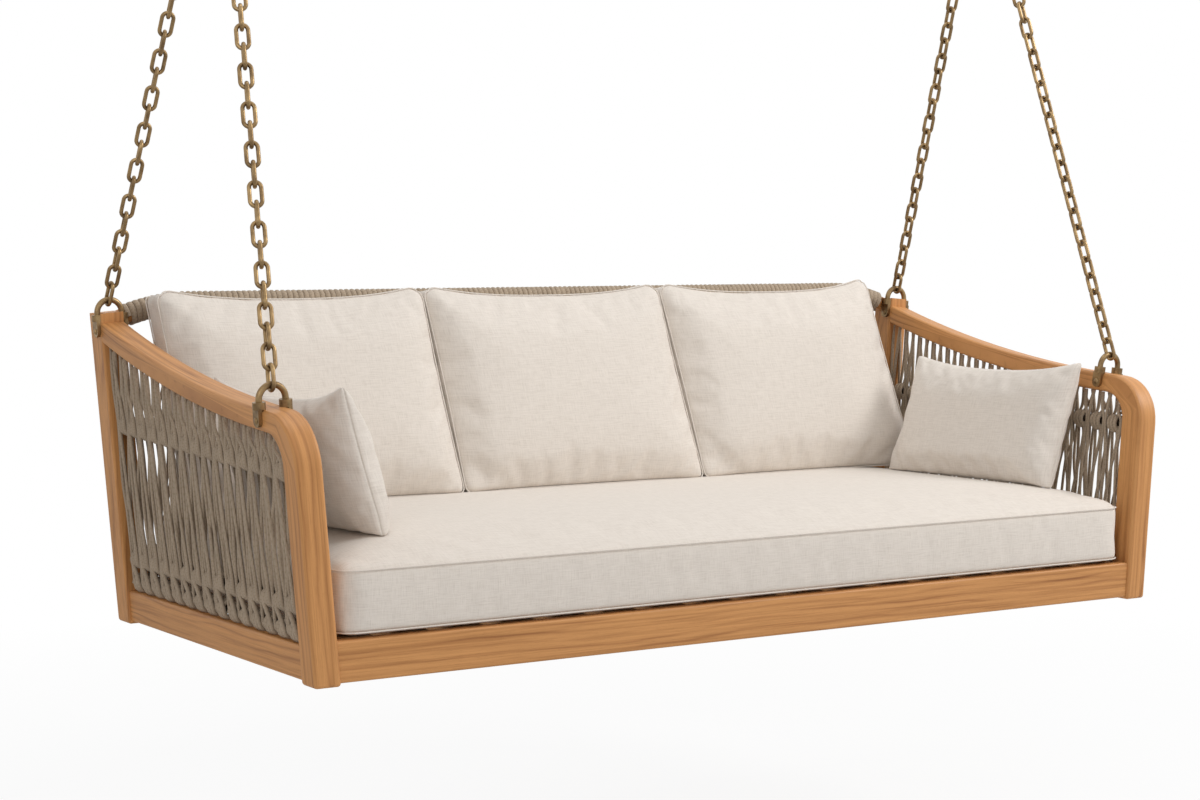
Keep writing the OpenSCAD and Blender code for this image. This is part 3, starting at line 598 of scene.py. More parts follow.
class SWINGBED_OT_metalwork(bpy.types.Operator):
    """Chains, shackles, rings, swing eyes, brackets and rods, which keep their shapes and get a finish"""

    bl_idname = "swing_bed.metalwork"
    bl_label = "Metalwork"

    def execute(self, context):
        looks = {"bronze": "antique_bronze", "rod_metal": "dark_bronze_rod", "bush_brass": "bearing_brass"}
        for obj in NODES.values():
            slot = obj.material_slots[0].material.name.split(".")[0] if obj.material_slots else ""
            if slot in looks:
                obj.material_slots[0].material = material(looks[slot])
        return {"FINISHED"}


# ---------------------------------------------------------------- rope

# A rope's point in its own column or pair: across the panel, along it, up, thickness and breadth. A face of
# a panel is 1 or -1 across it. A rod is its height at a place along the column


def winding(face, start, end, turns, rod, radius, thickness):
    """Turns round a rod from start to end along it, which begin and end on a face and move down it."""
    bulge = 0.0012
    steps = turns * TURN_POINTS
    path = []
    for k in range(steps + 1):
        f = k / steps
        angle = math.tau * turns * f
        along = start + (end - start) * f
        r = radius + bulge * math.sin(math.pi * f)
        path.append((face * r * math.cos(angle), along, rod(along) - r * math.sin(angle), thickness, 1))
    return path


def column(face, top, rods, rng, turns, rope_r, room):
    """Ropes of one column: one wound on every rod and drawn thin between, and those that cross it."""
    fat, half_fat, thin = 1.02, 0.85, 0.72
    low, high = -0.0141, 0.0141
    lead, cross_lead = 0.004, 0.006
    long_stretch = 0.1
    r = ROD_R + rope_r * fat + room
    behind = ROD_R + rope_r * 0.6

    def jig(size=0.0015):
        return rng.uniform(-size, size)

    # The wound rope leans forwards between its windings and works backwards round each rod
    entry = COLUMN_APEX - 0.25 * (COLUMN_APEX - low)
    path = eased([
        (face * (r - 0.003), COLUMN_APEX, top, thin, 1),
        (face * r, entry + jig(), top - 0.3 * (top - rods[0](0)), thin, 1),
        (face * r, low + 0.003, rods[0](low) + 0.024, half_fat, 1),
        (face * r, low, rods[0](low) + lead, fat, 1),
    ], 3)[:-1]
    for k, rod in enumerate(rods):
        path += winding(face, low, high, turns, rod, r, fat)
        if k + 1 == len(rods):
            break
        a, b = rod(high) - lead, rods[k + 1](low) + lead
        if a - b > long_stretch:
            path += eased([
                (face * r, high, a, fat, 1),
                (face * r, high * 0.8, a - 0.12 * (a - b), 0.82, 1),
                (face * (r + 0.001), jig(0.004), (a + b) / 2 + jig(0.02), thin, 1.1),
                (face * r, low * 0.8, b + 0.12 * (a - b), 0.82, 1),
                (face * r, low, b, fat, 1),
            ], 4)[1:-1]
        else:
            path += eased([
                (face * r, high, a, fat, 1), (face * r, 0, (a + b) / 2, 1, 1), (face * r, low, b, fat, 1),
            ], 2)[1:-1]
    paths = [path]
    # A second rope crosses behind it on each face, and rises from the winding to the column's other side
    a, b = rods[0](0) - cross_lead, rods[1](0) + cross_lead
    for side in (face, -face):
        depth, core = side * behind, side * (ROD_R - 0.001)
        paths.append(eased([
            (core, low, a, thin, 1),
            (depth, low * 0.9 + jig(), a - 0.2 * (a - b), thin, 1),
            (depth, jig(0.006), (a + b) / 2 + jig(0.03), thin, 1),
            (depth, high * 0.9, b + 0.15 * (a - b), thin, 1),
            (core, high, b, thin, 1),
        ], 3))
    a, depth = rods[0](0) + cross_lead, face * behind
    paths.append(eased([
        (depth, -COLUMN_APEX + jig(), top, thin, 1),
        (depth, -COLUMN_APEX * 0.4 + jig(), (top + a) / 2, thin, 1),
        (depth, high * 0.8, a + 0.012, thin, 1),
        (face * ROD_R, high, a, thin, 1),
    ], 3))
    return paths


def pair(face, top, rods, rng, rope_r):
    """Two plain ropes side by side between columns: down a face, round the lowest rod, up the other face."""
    middle, foot = rods[0](0), rods[-1](0)
    thick, slack, tight = 0.86, 0.86 * 0.92, 0.70
    spread, part, close = 0.0125, 0.0085, 0.0036
    r = ROD_R + rope_r * thick
    near = r - 0.001

    def jig(size):
        return rng.uniform(-size, size)

    def at(f):
        return middle - (middle - foot) * f

    def run(side, step, after):
        """One rope on one face: it leaves its neighbour under the arm, meets it beside the windings and may
        change places with it."""
        return [
            (side * (r - 0.003), step * spread, top, thick, 1),
            (side * r, step * part + jig(0.002), (top + middle) / 2, thick, 1),
            (side * near, step * close, middle + 0.014, tight, 1),
            (side * near, step * close, middle - 0.016, tight, 1),
            (side * (near + jig(0.001)), step * 0.0075 + jig(0.003), at(0.3 + jig(0.06)), slack, 1),
            (side * (near + step * 0.0015), after * 0.006 + jig(0.003), at(0.55 + jig(0.06)), slack, 1),
            (side * near, after * close, foot + 0.066, tight, 1),
            (side * near, after * close, foot + 0.03, tight, 1),
            (side * near, after * close, foot, tight, 1),
        ]

    paths = []
    for step in (-1, 1):
        after = rng.choice((-1, 1, 1)) * step
        path = eased(run(face, step, after), 3)
        end = path[-1][1]
        for k in range(1, 8):
            angle = math.pi * k / 8
            place = (face * near * math.cos(angle), end, foot - near * math.sin(angle))
            path.append(Vector((*place, tight, 1)))
        paths.append(path + eased(reversed(run(-face, step, after)), 3))
    return paths


def side_panel(side):
    """The rope paths of a side panel."""
    rng = random.Random(5 + side)
    rope_r, turns = finish().rope_d / 2, finish().turns
    rise = (UPPER_REAR - UPPER_FRONT) / (POST_FRONT - LEG_BACK)
    outside = -1
    paths = []

    def upper_rod(y):
        return lambda b: UPPER_FRONT + (y + b - LEG_BACK) * rise

    def hang(local, y):
        paths.extend([[(*to_world(side, SIDE_MID + a, y + b, z), thick, 0, broad, 0)
                       for a, b, z, thick, broad in path] for path in local])

    for k in range(SIDE_COLUMNS):
        y = SIDE_MID_Y + (k - (SIDE_COLUMNS - 1) / 2) * COLUMN_PITCH
        top = min(arm_under(y + COLUMN_APEX), arm_under(y - COLUMN_APEX)) - ROPE_END_GAP
        rods = [upper_rod(y), lambda b: LOWER_ROD, lambda b: BOTTOM_ROD]
        hang(column(outside, top, rods, rng, turns, rope_r, room=0.0022), y)
    # Pairs run between the columns, and one more closes each end of the panel
    first = SIDE_MID_Y - SIDE_COLUMNS / 2 * COLUMN_PITCH
    for k in range(SIDE_COLUMNS + 1):
        y = min(max(first + k * COLUMN_PITCH, LEG_BACK + END_PAIR_GAP), POST_FRONT - END_PAIR_GAP)
        rods = [upper_rod(y), lambda b: BOTTOM_ROD]
        hang(pair(outside, arm_under(y) - ROPE_END_GAP, rods, rng, rope_r), y)
    return paths


def rail_z(x):
    """Height of the back rail's middle line."""
    bent = max(abs(x) - RAIL_MID_X, 0)
    return RAIL_MID_Z - (RAIL_BEND_R - math.sqrt(RAIL_BEND_R ** 2 - bent ** 2) if bent else 0)


def back_panel():
    """The rope paths of the back panel."""
    rng = random.Random(9)
    rope_r, turns = finish().rope_d / 2, finish().turns
    rods = [lambda b, z=z: z for z in BACK_RODS]
    rear = 1
    paths = []

    def under_rail(x):
        return rail_z(x) - WRAP_R - ROPE_END_GAP

    def hang(local, x):
        paths.extend([[(x - b, BACK_Y + a, z, thick, broad, 0, 0)
                       for a, b, z, thick, broad in path] for path in local])

    for k in range(BACK_COLUMNS):
        x = (k - (BACK_COLUMNS - 1) / 2) * COLUMN_PITCH
        top = under_rail(abs(x) + COLUMN_APEX)
        hang(column(rear, top, rods, rng, turns, rope_r, room=0.0004), x)
        if k > 0:
            gap = x - COLUMN_PITCH / 2
            hang(pair(rear, under_rail(gap), [rods[0], rods[2]], rng, rope_r), gap)
    return paths


def rope_panel(side_name, paths):
    """A woven panel as one piece."""
    name = side_name + "_rope_panel"
    mesh = tubes(name, paths, finish().rope_d / 2)
    new_piece(mesh, name, "braided_rope", "rope", (side_name + "_rope_weave",))


class SWINGBED_OT_side_rope(bpy.types.Operator):
    """Rope panels of both sides: wound columns with pairs of plain ropes between them"""

    bl_idname = "swing_bed.side_rope"
    bl_label = "Side Rope Panels"

    def execute(self, context):
        rope_panel("left", side_panel(-1))
        rope_panel("right", side_panel(1))
        return {"FINISHED"}


class SWINGBED_OT_back_rope(bpy.types.Operator):
    """Rope panel of the back"""

    bl_idname = "swing_bed.back_rope"
    bl_label = "Back Rope Panel"

    def execute(self, context):
        rope_panel("back", back_panel())
        return {"FINISHED"}


def rail_point(t):
    """The back rail's middle line and its direction at a distance t from the middle."""
    side, d = (1 if t >= 0 else -1), abs(t)
    if d <= RAIL_MID_X:
        return Vector((t, BACK_Y, RAIL_MID_Z)), Vector((1, 0, 0))
    angle = (d - RAIL_MID_X) / RAIL_BEND_R
    x = RAIL_MID_X + RAIL_BEND_R * math.sin(angle)
    z = RAIL_MID_Z - RAIL_BEND_R * (1 - math.cos(angle))
    return Vector((side * x, BACK_Y, z)), Vector((math.cos(angle), 0, -side * math.sin(angle)))


class SWINGBED_OT_rail_wrap(bpy.types.Operator):
    """Rope wound closely round the back rail, one turn beside the next"""

    bl_idname = "swing_bed.rail_wrap"
    bl_label = "Back Rail Wrapping"

    def execute(self, context):
        end = RAIL_MID_X + RAIL_BEND * RAIL_BEND_R - WRAP_SHORT
        pitch = finish().wrap_pitch
        # The rope is pulled flat: nearly as broad as the pitch, and as thick as the wrapping
        rope_r, half = (WRAP_R - WRAP_IN_R) / 2, pitch * 0.49
        steps = int(2 * end / pitch * TURN_POINTS)
        path = []
        for k in range(steps + 1):
            t = -end + half + (2 * end - 2 * half) * k / steps
            middle, along = rail_point(t)
            out = Vector((0, 1, 0))
            up = along.cross(out) * -1
            angle = math.tau * (t + end) / pitch
            place = middle + (WRAP_R - rope_r) * (math.cos(angle) * out + math.sin(angle) * up)
            path.append((*place, 1, *(along * half / rope_r)))
        mesh = tubes("back_rail_rope", [path], rope_r)
        new_piece(mesh, "back_rail_rope", "braided_rope", "rope", ("back_rail_wrap",))
        return {"FINISHED"}


# ---------------------------------------------------------------- cushions

# A blank is a sewn cover before it is stuffed: u and v across its faces, w through it, from its middle


def squared_corner(du, dv):
    """How far to draw in a point that lies du and dv into a square corner, to round it."""
    return max(du, dv) / math.hypot(du, dv)


def blank(size, cells, round_r):
    """A closed blank, cut into a grid of cells, with rounded corners."""
    bm = bmesh.new()
    bmesh.ops.create_cube(bm, size=1)
    bmesh.ops.scale(bm, vec=size, verts=bm.verts)
    for axis, count in enumerate(cells):
        edges = [e for e in bm.edges
                 if abs((e.verts[0].co - e.verts[1].co).normalized()[axis]) > 0.99]
        bmesh.ops.subdivide_edges(bm, edges=edges, cuts=count - 1, use_grid_fill=True)
    inner_u, inner_v = size[0] / 2 - round_r, size[1] / 2 - round_r
    for v in bm.verts:
        du, dv = abs(v.co.x) - inner_u, abs(v.co.y) - inner_v
        if du > 0 and dv > 0:
            keep = squared_corner(du, dv)
            v.co.x = math.copysign(inner_u + du * keep, v.co.x)
            v.co.y = math.copysign(inner_v + dv * keep, v.co.y)
    return bm


def lookup(table, x):
    """The value at x in a table of (x, value) rows, by straight lines between them."""
    for (x0, y0), (x1, y1) in zip(table, table[1:]):
        if x <= x1:
            return y0 + (y1 - y0) * max(x - x0, 0) / (x1 - x0)
    return table[-1][1]


def smooth_rise(inset, reach, power=0.85):
    """0 at a seam, 1 at reach from it, steep at first."""
    f = min(max(inset / reach, 0), 1)
    return math.sin(f * math.pi / 2) ** power


def pucker(along, inset, seed, size):
    """Small folds that run in from a seam, where the stitches gather the cloth."""
    near = inset / 0.028
    return size * near * math.exp(1 - near) * noise.noise(Vector((along / 0.034, inset / 0.12, seed)))


def inset_of(co, hu, hv, round_r):
    """Distance inside a rounded outline."""
    du, dv = abs(co.x) - (hu - round_r), abs(co.y) - (hv - round_r)
    if du > 0 and dv > 0:
        return round_r - math.hypot(du, dv)
    return min(hu - abs(co.x), hv - abs(co.y))


def weave_uv(bm, seed):
    """UV map 'weave' in metres, each sewn panel laid flat and cut from its own part of the cloth."""
    layer = bm.loops.layers.uv.new("weave")
    for f in bm.faces:
        f.normal_update()
        axis = max(range(3), key=lambda k: abs(f.normal[k]))
        first, second = [k for k in range(3) if k != axis]
        shift = seed * 3.7 + axis * 1.3 + (0.6 if f.normal[axis] > 0 else 0)
        for loop in f.loops:
            loop[layer].uv = (loop.vert.co[first] + shift, loop.vert.co[second] + shift * 0.7)


def seam_order(bm, size, w):
    """Indices of a seam's vertices at height w, in order round the outline."""
    rim = bm.verts.layers.int["rim"]
    verts = [v for v in bm.verts if abs(v.co.z - w) < 1e-6 and v[rim]]
    verts.sort(key=lambda v: math.atan2(v.co.y / size[1], v.co.x / size[0]))
    return [v.index for v in verts]


def inflate(obj, pinned, pressure, cap, slack, keep):
    """Cloth simulation of a blank, blown up a little with its seams held. No point moves further than cap,
    and keep holds it in its room."""
    start = [v.co.copy() for v in obj.data.vertices]
    group = obj.vertex_groups.new(name="seams")
    group.add(sorted(pinned), 1.0, "REPLACE")
    cloth = obj.modifiers.new("Cloth", "CLOTH")
    frames = 20
    s = cloth.settings
    s.quality = 5
    s.mass = 0.25
    s.tension_stiffness = s.compression_stiffness = 12
    s.shear_stiffness = 4
    s.bending_stiffness = 0.35
    s.tension_damping = s.compression_damping = 8
    s.air_damping = 3
    s.use_pressure = True
    s.uniform_pressure_force = pressure
    s.shrink_min = -slack
    s.vertex_group_mass = "seams"
    s.pin_stiffness = 1
    s.effector_weights.gravity = 0
    cloth.collision_settings.use_collision = False
    cloth.collision_settings.use_self_collision = False
    cloth.point_cache.frame_start, cloth.point_cache.frame_end = 1, frames
    scene = bpy.context.scene
    for f in range(1, frames + 1):
        scene.frame_set(f)
    shaped = obj.evaluated_get(bpy.context.evaluated_depsgraph_get())
    moved = [v.co.copy() for v in shaped.data.vertices]
    obj.modifiers.remove(cloth)
    obj.vertex_groups.remove(group)
    for v, a, b in zip(obj.data.vertices, start, moved):
        step = b - a
        if step.length > cap:
            step *= cap / step.length
        v.co = keep(a + step)
    scene.frame_set(1)


def settle(obj, seat, foot, reach):
    """Lets a cushion down on to the seat: what is within reach of its foot spreads and follows the seat."""
    clear = 0.0012
    depsgraph = bpy.context.evaluated_depsgraph_get()
    tree = BVHTree.FromObject(seat.evaluated_get(depsgraph), depsgraph)
    for v in obj.data.vertices:
        hit = tree.ray_cast(Vector((v.co.x, v.co.y, 1)), Vector((0, 0, -1)))[0]
        if hit:
            up = v.co.z - foot
            drop = max(foot - hit.z - clear, 0) * math.exp(-((up / (2 * reach)) ** 2))
            spread = up * abs(up) / reach if up < reach else up
            v.co.z = max(foot + spread - drop, hit.z + clear)


def piping(name, slot, seams, points, into_bed):
    """Cords sewn into both seams of a cushion."""
    r = finish().piping_d / 2
    proud = r * 0.35
    paths = []
    for seam, side in zip(seams, (-1, 1)):
        path = []
        for p in (points[i] for i in seam):
            flat = Vector((p.x, p.y, 0)).normalized()
            out = Vector((flat.x, flat.y, side * 0.6)).normalized()
            path.append(into_bed(p + out * proud))
        paths.append(path)
    cord = tubes(name, paths, r, closed=True)
    cord.uv_layers[0].name = "weave"
    new_piece(cord, name, "woven_linen", slot)


def cushion(node, size, cells, round_r, shape, into_bed, seed, slot, pressure, cap, slack, held,
            keep=lambda p: p, piped=True, crease=0.0):
    """A sewn cushion: blank, crown, simulation, piping. shape crowns a point of the blank, held tells which
    points stay, keep limits where they go, and into_bed maps the blank into the bed."""
    name = node + "_linen"
    bm = blank(size, cells, round_r)
    hu, hv, hw = (d / 2 for d in size)
    rim = bm.verts.layers.int.new("rim")
    for v in bm.verts:
        v[rim] = int(inset_of(v.co, hu, hv, round_r) < 1e-5)
    weave_uv(bm, seed)
    bm.verts.index_update()
    seams = [seam_order(bm, size, w) for w in (-hw, hw)]
    for v in bm.verts:
        inset = inset_of(v.co, hu, hv, round_r)
        v.co = shape(v.co.copy(), inset, bool(v[rim]))
    if crease:
        layer = bm.edges.layers.float.new("crease_edge")
        for e in bm.edges:
            if all(v[rim] for v in e.verts):
                e[layer] = crease
    mesh = bpy.data.meshes.new(name)
    bm.to_mesh(mesh)
    bm.free()
    obj = bpy.data.objects.new(name, mesh)
    bpy.context.scene.collection.objects.link(obj)
    pinned = {i for seam in seams for i in seam}
    pinned.update(v.index for v in mesh.vertices if held(v.co))
    inflate(obj, pinned, pressure, cap, slack, keep)
    points = [v.co.copy() for v in mesh.vertices]
    for v, p in zip(mesh.vertices, points):
        v.co = into_bed(p)
    mesh.materials.append(material("woven_linen"))
    mesh.shade_smooth()
    fine = obj.modifiers.new("Smooth", "SUBSURF")
    fine.levels = fine.render_levels = 1
    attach(obj, BED)
    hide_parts(node)
    if piped:
        piping(name + "_piping", slot, seams, points, into_bed)
    return obj


# How far a face has risen at a distance in from its seam: a stuffed back cushion's, and the seat's
FACE = ((0, 0), (0.008, 0.2), (0.024, 0.5), (0.060, 0.85), (0.120, 1))
CROWN = ((0, 0), (0.012, 0.26), (0.050, 0.54), (0.150, 0.80), (0.300, 1))


class SWINGBED_OT_seat_cushion(bpy.types.Operator):
    """Boxed seat cushion with piping round both faces and a low crown"""

    bl_idname = "swing_bed.seat_cushion"
    bl_label = "Seat Cushion"

    def execute(self, context):
        y0, y1, z0, z1 = -0.458, 0.4227, 0.091, 0.201
        width, crown, belly, fold = 1.888, 0.052, 0.0104, 0.0016
        middle = Vector((0, (y0 + y1) / 2, (z0 + z1) / 2))
        size = (width, y1 - y0, z1 - z0)

        def shape(p, inset, rim):
            if rim:
                return p
            if p.z > 0:
                rise = 0.55 * lookup(CROWN, inset) + 0.45 * smooth_rise(inset, 0.28, 0.75)
                return p + Vector((0, 0, crown * rise + pucker(p.x + p.y, inset, 3.5, fold)))
            return p - Vector((0, 0, belly * smooth_rise(inset - 0.006, 0.03)))

        cushion("seat_cushion", size, (110, 52, 7), 0.040, shape, lambda p: p + middle, seed=1,
                slot="cushion_fabric", pressure=1.0, cap=0.004, slack=0.004,
                held=lambda p: p.z < -size[2] / 2 - 0.002)
        return {"FINISHED"}


class SWINGBED_OT_back_cushions(bpy.types.Operator):
    """Three boxed back cushions, piped, that lean on the rope back"""

    bl_idname = "swing_bed.back_cushions"
    bl_label = "Back Cushions"

    def execute(self, context):
        width, height, thick = 0.6085, 0.436, 0.062
        spacing, shift = 0.612, -0.039
        lean = math.tan(math.radians(24))
        size = (width, height, thick)
        hu, hv = width / 2, height / 2
        front_swell, rear_swell, front_room = 0.052, 0.017, 0.060
        side_pull, top_dip, top_fall, foot_lift = 0.004, 0.026, 0.011, 0.0035
        corner, ear, fold = 0.034, 0.009, 0.0055
        for k, side in ((-1, "left"), (0, "middle"), (1, "right")):
            foot = Vector((k * spacing + shift, 0.19248, 0.2526))

            def shape(p, inset, rim, k=k):
                u, v = p.x / hu, p.y / hv
                front = p.z > 0
                flat = p.copy()
                # Edges run in between the corners, most of all the upper one
                dip = (1 - abs(u) ** 2.6) * max(v, 0) ** 3
                pull = (1 - v * v) * abs(u) ** 5
                # The upper border falls away to the rear
                fall = top_fall * max(v, 0) ** 8 * (0.5 - p.z / thick)
                # The lower edge lifts off the seat by a few millimetres in the middle
                lift = foot_lift * (1 - u ** 4) * max(-v, 0) ** 12
                p = p + Vector((-math.copysign(side_pull, u) * pull, lift - top_dip * dip - fall, 0))
                if not rim:
                    rise = 0.4 * lookup(FACE, inset) + 0.6 * smooth_rise(inset, 0.23, 0.6)
                    # Stuffing doesn't reach the corners, and the lower ones are dented
                    du, dv = (abs(u) - 0.93) * hu / 0.05, (v + 0.86) * hv / 0.035
                    hollow = math.exp(-(du ** 2 + dv ** 2))
                    rise *= 1 - (0.55 if u < 0 else 0.25) * hollow
                    rise *= 1 - 0.22 * abs(u * v) ** 2
                    p.z += math.copysign((front_swell if front else rear_swell) * rise, p.z)
                    folds = math.copysign(pucker(flat.x - flat.y, inset, 2.3 + k * 5, fold), p.z)
                    p.z += folds * (1 if front else 0.3)
                # The upper corners are rounded, and the last cushion's outer one stands a little higher
                du, dv = abs(p.x) - (hu - corner), p.y - (hv - corner)
                if du > 0 and dv > 0:
                    kept = squared_corner(du, dv)
                    p.x, p.y = math.copysign(hu - corner + du * kept, p.x), hv - corner + dv * kept
                if k == 1:
                    p.y += ear * (max(u, 0) * max(v, 0)) ** 5
                return p

            def into_bed(p, foot=foot):
                v = p.y + hv
                return foot + Vector((p.x, v * lean - p.z, v))

            def keep(p):
                return Vector((max(-hu, min(hu, p.x)), max(-hv, p.y), min(p.z, thick / 2 + front_room)))

            cushion(side + "_back_cushion", size, (60, 44, 5), 0.016, shape, into_bed, seed=3 + k,
                    slot="cushion_fabric", pressure=2.2, cap=0.008, slack=0.018,
                    held=lambda p: p.y < -hv + 0.004, keep=keep)
        return {"FINISHED"}


class SWINGBED_OT_lumbar_pillows(bpy.types.Operator):
    """Two knife-edged pillows, one against each arm"""

    bl_idname = "swing_bed.lumbar_pillows"
    bl_label = "Lumbar Pillows"

    def execute(self, context):
        size = (0.484, 0.268, 0.006)
        hu, hv, hw = (d / 2 for d in size)
        lean = math.tan(math.radians(18))
        swell, fold, room, seam = 0.048, 0.0032, 0.060, 0.0024
        end_pull, top_dip, foot_dip = 0.009, 0.025, 0.003
        # Side, its name, turn in degrees, height of the foot and how far the foot stands in from the lean
        rows = ((-1, "left", 5.6, 0.2452, -0.004), (1, "right", -7.4, 0.2458, 0.018))
        for s, side, turn, height, toe in rows:
            foot = Vector((s * 0.815, -0.1088, height))
            cos_t, sin_t = math.cos(math.radians(turn)), math.sin(math.radians(turn))

            def shape(p, inset, rim, s=s):
                u, v = p.x / hu, p.y / hv
                flat = p.copy()
                dip = (1 - abs(u) ** 2.4) * abs(v) ** 3
                pull = (1 - v * v) * abs(u) ** 5
                sink = math.copysign(top_dip if v > 0 else foot_dip, v) * dip
                p = p + Vector((-math.copysign(end_pull, u) * pull, -sink, 0))
                if s < 0:
                    # The left one is a little shorter in front and higher at its ears
                    p += Vector((0.010 * max(-u, 0) ** 3, 0.009 * max(v, 0) ** 5 * abs(u) ** 3, 0))
                if rim:
                    if abs(p.z) < hw / 2:
                        p += Vector((-math.copysign(seam, u) if abs(u) > 0.97 else 0,
                                     -math.copysign(seam, v) if abs(v) > 0.95 else 0, 0))
                else:
                    # The front end is stuffed hard, and the inner face hangs over the lower seam
                    inner = p.z > 0
                    steep = (9 if inner else 6) if u < 0 else 4
                    low = 5 if v < 0 and inner else 2.6
                    rise = (max(1 - abs(u) ** steep, 0) * max(1 - abs(v) ** low, 0)) ** 0.5
                    p.z += math.copysign(swell * rise + pucker(flat.x - flat.y, inset, 6.1 + s, fold), p.z)
                return p

            def into_bed(p, foot=foot, s=s, cos_t=cos_t, sin_t=sin_t, toe=toe):
                up = p.y + hv
                out = up * lean - p.z - toe * (1 - up / (2 * hv)) ** 3
                return foot + Vector((s * (p.x * sin_t + out * cos_t), p.x * cos_t - out * sin_t, up))

            def keep(p):
                return Vector((max(-hu, min(hu, p.x)), max(-hv, p.y), min(p.z, room)))

            pillow = cushion(side + "_lumbar_pillow", size, (56, 32, 2), 0.010, shape, into_bed, seed=8 + s,
                             slot="pillow_fabric", pressure=2.2, cap=0.009, slack=0.02,
                             held=lambda p: p.y < -hv + 0.004, keep=keep, piped=False, crease=0.7)
            settle(pillow, bpy.data.objects["seat_cushion_linen"], height, reach=0.032)
        return {"FINISHED"}


# ---------------------------------------------------------------- stage


def add_camera(scene):
    """The photograph's camera."""
    camera = bpy.data.cameras.new("Camera")
    camera.sensor_width = SENSOR_MM
    camera.lens = FOCAL_PX / PHOTO_WIDTH_PX * SENSOR_MM
    camera.clip_end = 60
    eye = bpy.data.objects.new("Camera", camera)
    scene.collection.objects.link(eye)
    turn = Matrix.Rotation(-EYE_TURN, 4, "Z") @ Matrix.Rotation(math.pi / 2 - EYE_DIP, 4, "X")
    eye.matrix_world = Matrix.Translation(EYE) @ turn @ Matrix.Rotation(-EYE_ROLL, 4, "Z")
    scene.camera = eye


def add_floor(scene):
    """A pale painted floor half a metre below the bed, nearly white to the camera, that shows the shadow."""
    bm = bmesh.new()
    bmesh.ops.create_grid(bm, x_segments=8, y_segments=8, size=9)
    bmesh.ops.translate(bm, vec=(0, 0, -0.5), verts=bm.verts)
    mesh = bpy.data.meshes.new("floor")
    bm.to_mesh(mesh)
    bm.free()
    floor = bpy.data.objects.new("floor", mesh)
    scene.collection.objects.link(floor)
    paint, tree = new_material("pale_floor_paint")
    place = add(tree, "TexCoord").outputs["Object"]
    mottle = add(tree, "TexNoise", {"Vector": place, "Scale": 3, "Detail": 2})
    tint = add(tree, "ValToRGB", {"Fac": mottle}, [(0.3, grey(0.80)), (0.7, grey(0.82))])
    matt = add(tree, "BsdfDiffuse", {"Color": tint})
    glow = add(tree, "Emission", {"Color": grey(1), "Strength": 1.0})
    # Away from the bed it is wholly white, so that it has no horizon
    away = add(tree, "VectorMath", {0: place}, operation="LENGTH")
    white = add(tree, "MapRange", {
        "Value": away, "From Min": 1.6, "From Max": 3.6, "To Min": 0.91, "To Max": 1.0,
    })
    seen = add(tree, "LightPath").outputs["Is Camera Ray"]
    share = add(tree, "Math", {0: seen, 1: white}, operation="MULTIPLY")
    both = add(tree, "MixShader", {0: share, 1: matt, 2: glow})
    add(tree, "OutputMaterial", {"Surface": both})
    mesh.materials.append(paint)


def add_surround(scene):
    """A surround that lights softly and looks white to the camera and in the metal."""
    world = bpy.data.worlds.new("Studio")
    world.use_nodes = True
    tree = world.node_tree
    tree.nodes.clear()
    rays = add(tree, "LightPath").outputs
    seen = rays["Is Camera Ray"]
    for ray in ("Is Glossy Ray", "Is Transmission Ray"):
        seen = add(tree, "Math", {0: seen, 1: rays[ray]}, operation="MAXIMUM")
    level = add(tree, "MapRange", {"Value": seen, "To Min": 0.48, "To Max": 1.0})
    sky = add(tree, "Background", {"Color": grey(1), "Strength": level})
    add(tree, "OutputWorld", {"Surface": sky})
    scene.world = world


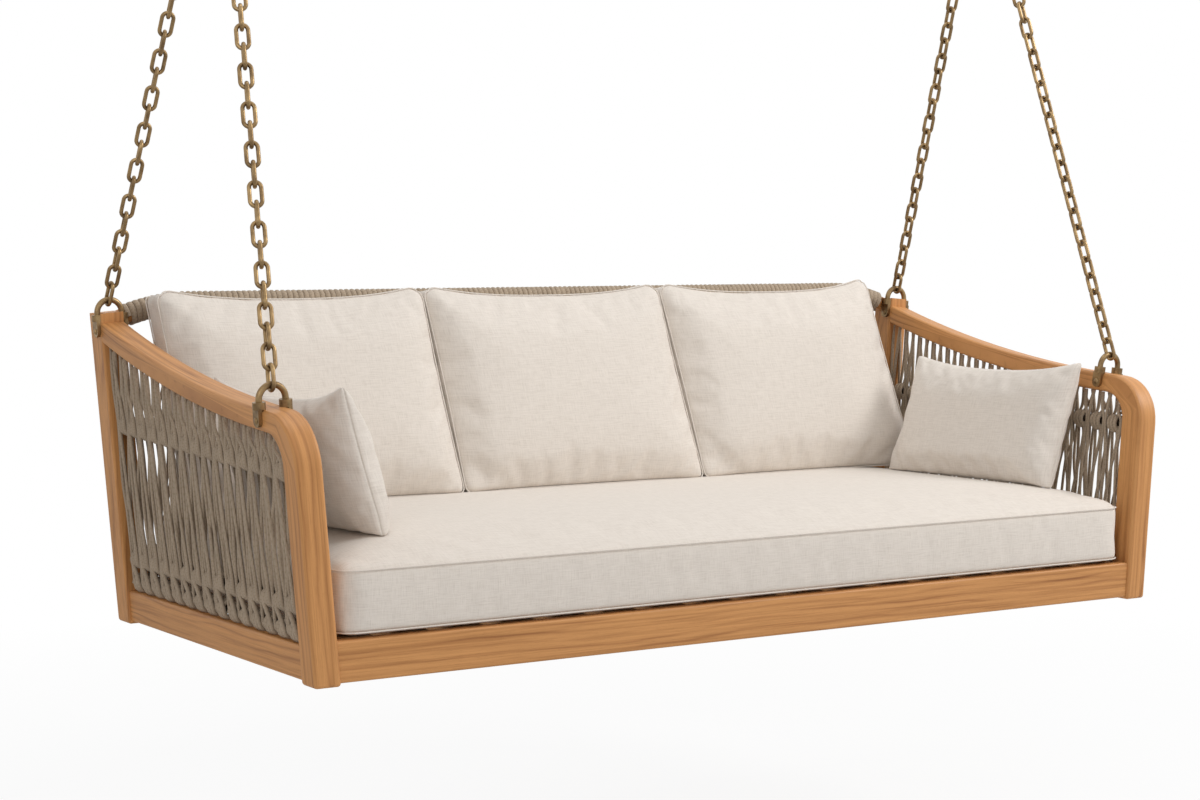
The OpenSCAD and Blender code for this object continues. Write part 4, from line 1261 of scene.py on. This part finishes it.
def add_lamp(scene, name, at, target, size, power):
    """A soft box that looks at a target."""
    data = bpy.data.lights.new(name, "AREA")
    data.shape = "RECTANGLE"
    data.size, data.size_y = size
    data.energy = power
    lamp = bpy.data.objects.new(name, data)
    lamp.location = at
    lamp.rotation_euler = (Vector(target) - Vector(at)).to_track_quat("-Z", "Y").to_euler()
    scene.collection.objects.link(lamp)


class SWINGBED_OT_stage(bpy.types.Operator):
    """Camera, pale floor, soft studio lights and a white surround"""

    bl_idname = "swing_bed.stage"
    bl_label = "Stage"

    def execute(self, context):
        scene = context.scene
        scene.view_settings.view_transform = "Standard"
        add_camera(scene)
        add_floor(scene)
        add_surround(scene)
        add_lamp(scene, "Key", (3.7, -2.6, 3.5), (0, 0, 0.3), (2.0, 1.8), 145)
        add_lamp(scene, "Fill", (-3.6, -2.8, 1.9), (-0.4, 0, 0.3), (1.6, 1.6), 18)
        add_lamp(scene, "Top", (0, 0.2, 4.2), (0, 0, 0.2), (3.0, 2.0), 38)
        return {"FINISHED"}


# ---------------------------------------------------------------- add-on


class SWINGBED_PT_parts(bpy.types.Panel):
    """Builds the parts of the swing bed one by one"""

    bl_idname = "SWINGBED_PT_parts"
    bl_label = "Hanging Swing Bed"
    bl_space_type = "VIEW_3D"
    bl_region_type = "UI"
    bl_category = "Swing Bed"

    def draw(self, context):
        for key in SwingBedFinish.__annotations__:
            self.layout.prop(context.scene.swing_bed, key)
        for operator in OPERATORS:
            self.layout.operator(operator.bl_idname)


OPERATORS = (
    SWINGBED_OT_timber, SWINGBED_OT_metalwork,
    SWINGBED_OT_side_rope, SWINGBED_OT_back_rope, SWINGBED_OT_rail_wrap,
    SWINGBED_OT_seat_cushion, SWINGBED_OT_back_cushions, SWINGBED_OT_lumbar_pillows,
    SWINGBED_OT_stage,
)
CLASSES = (SwingBedFinish, *OPERATORS, SWINGBED_PT_parts)


def register():
    """Adds the classes and the scene's settings."""
    for c in CLASSES:
        bpy.utils.register_class(c)
    bpy.types.Scene.swing_bed = PointerProperty(type=SwingBedFinish)


def unregister():
    """Takes them away again."""
    del bpy.types.Scene.swing_bed
    for c in reversed(CLASSES):
        bpy.utils.unregister_class(c)


def main():
    """Builds every part in order."""
    register()
    for operator in OPERATORS:
        group, name = operator.bl_idname.split(".")
        getattr(getattr(bpy.ops, group), name)()


if __name__ == "__main__":
    main()
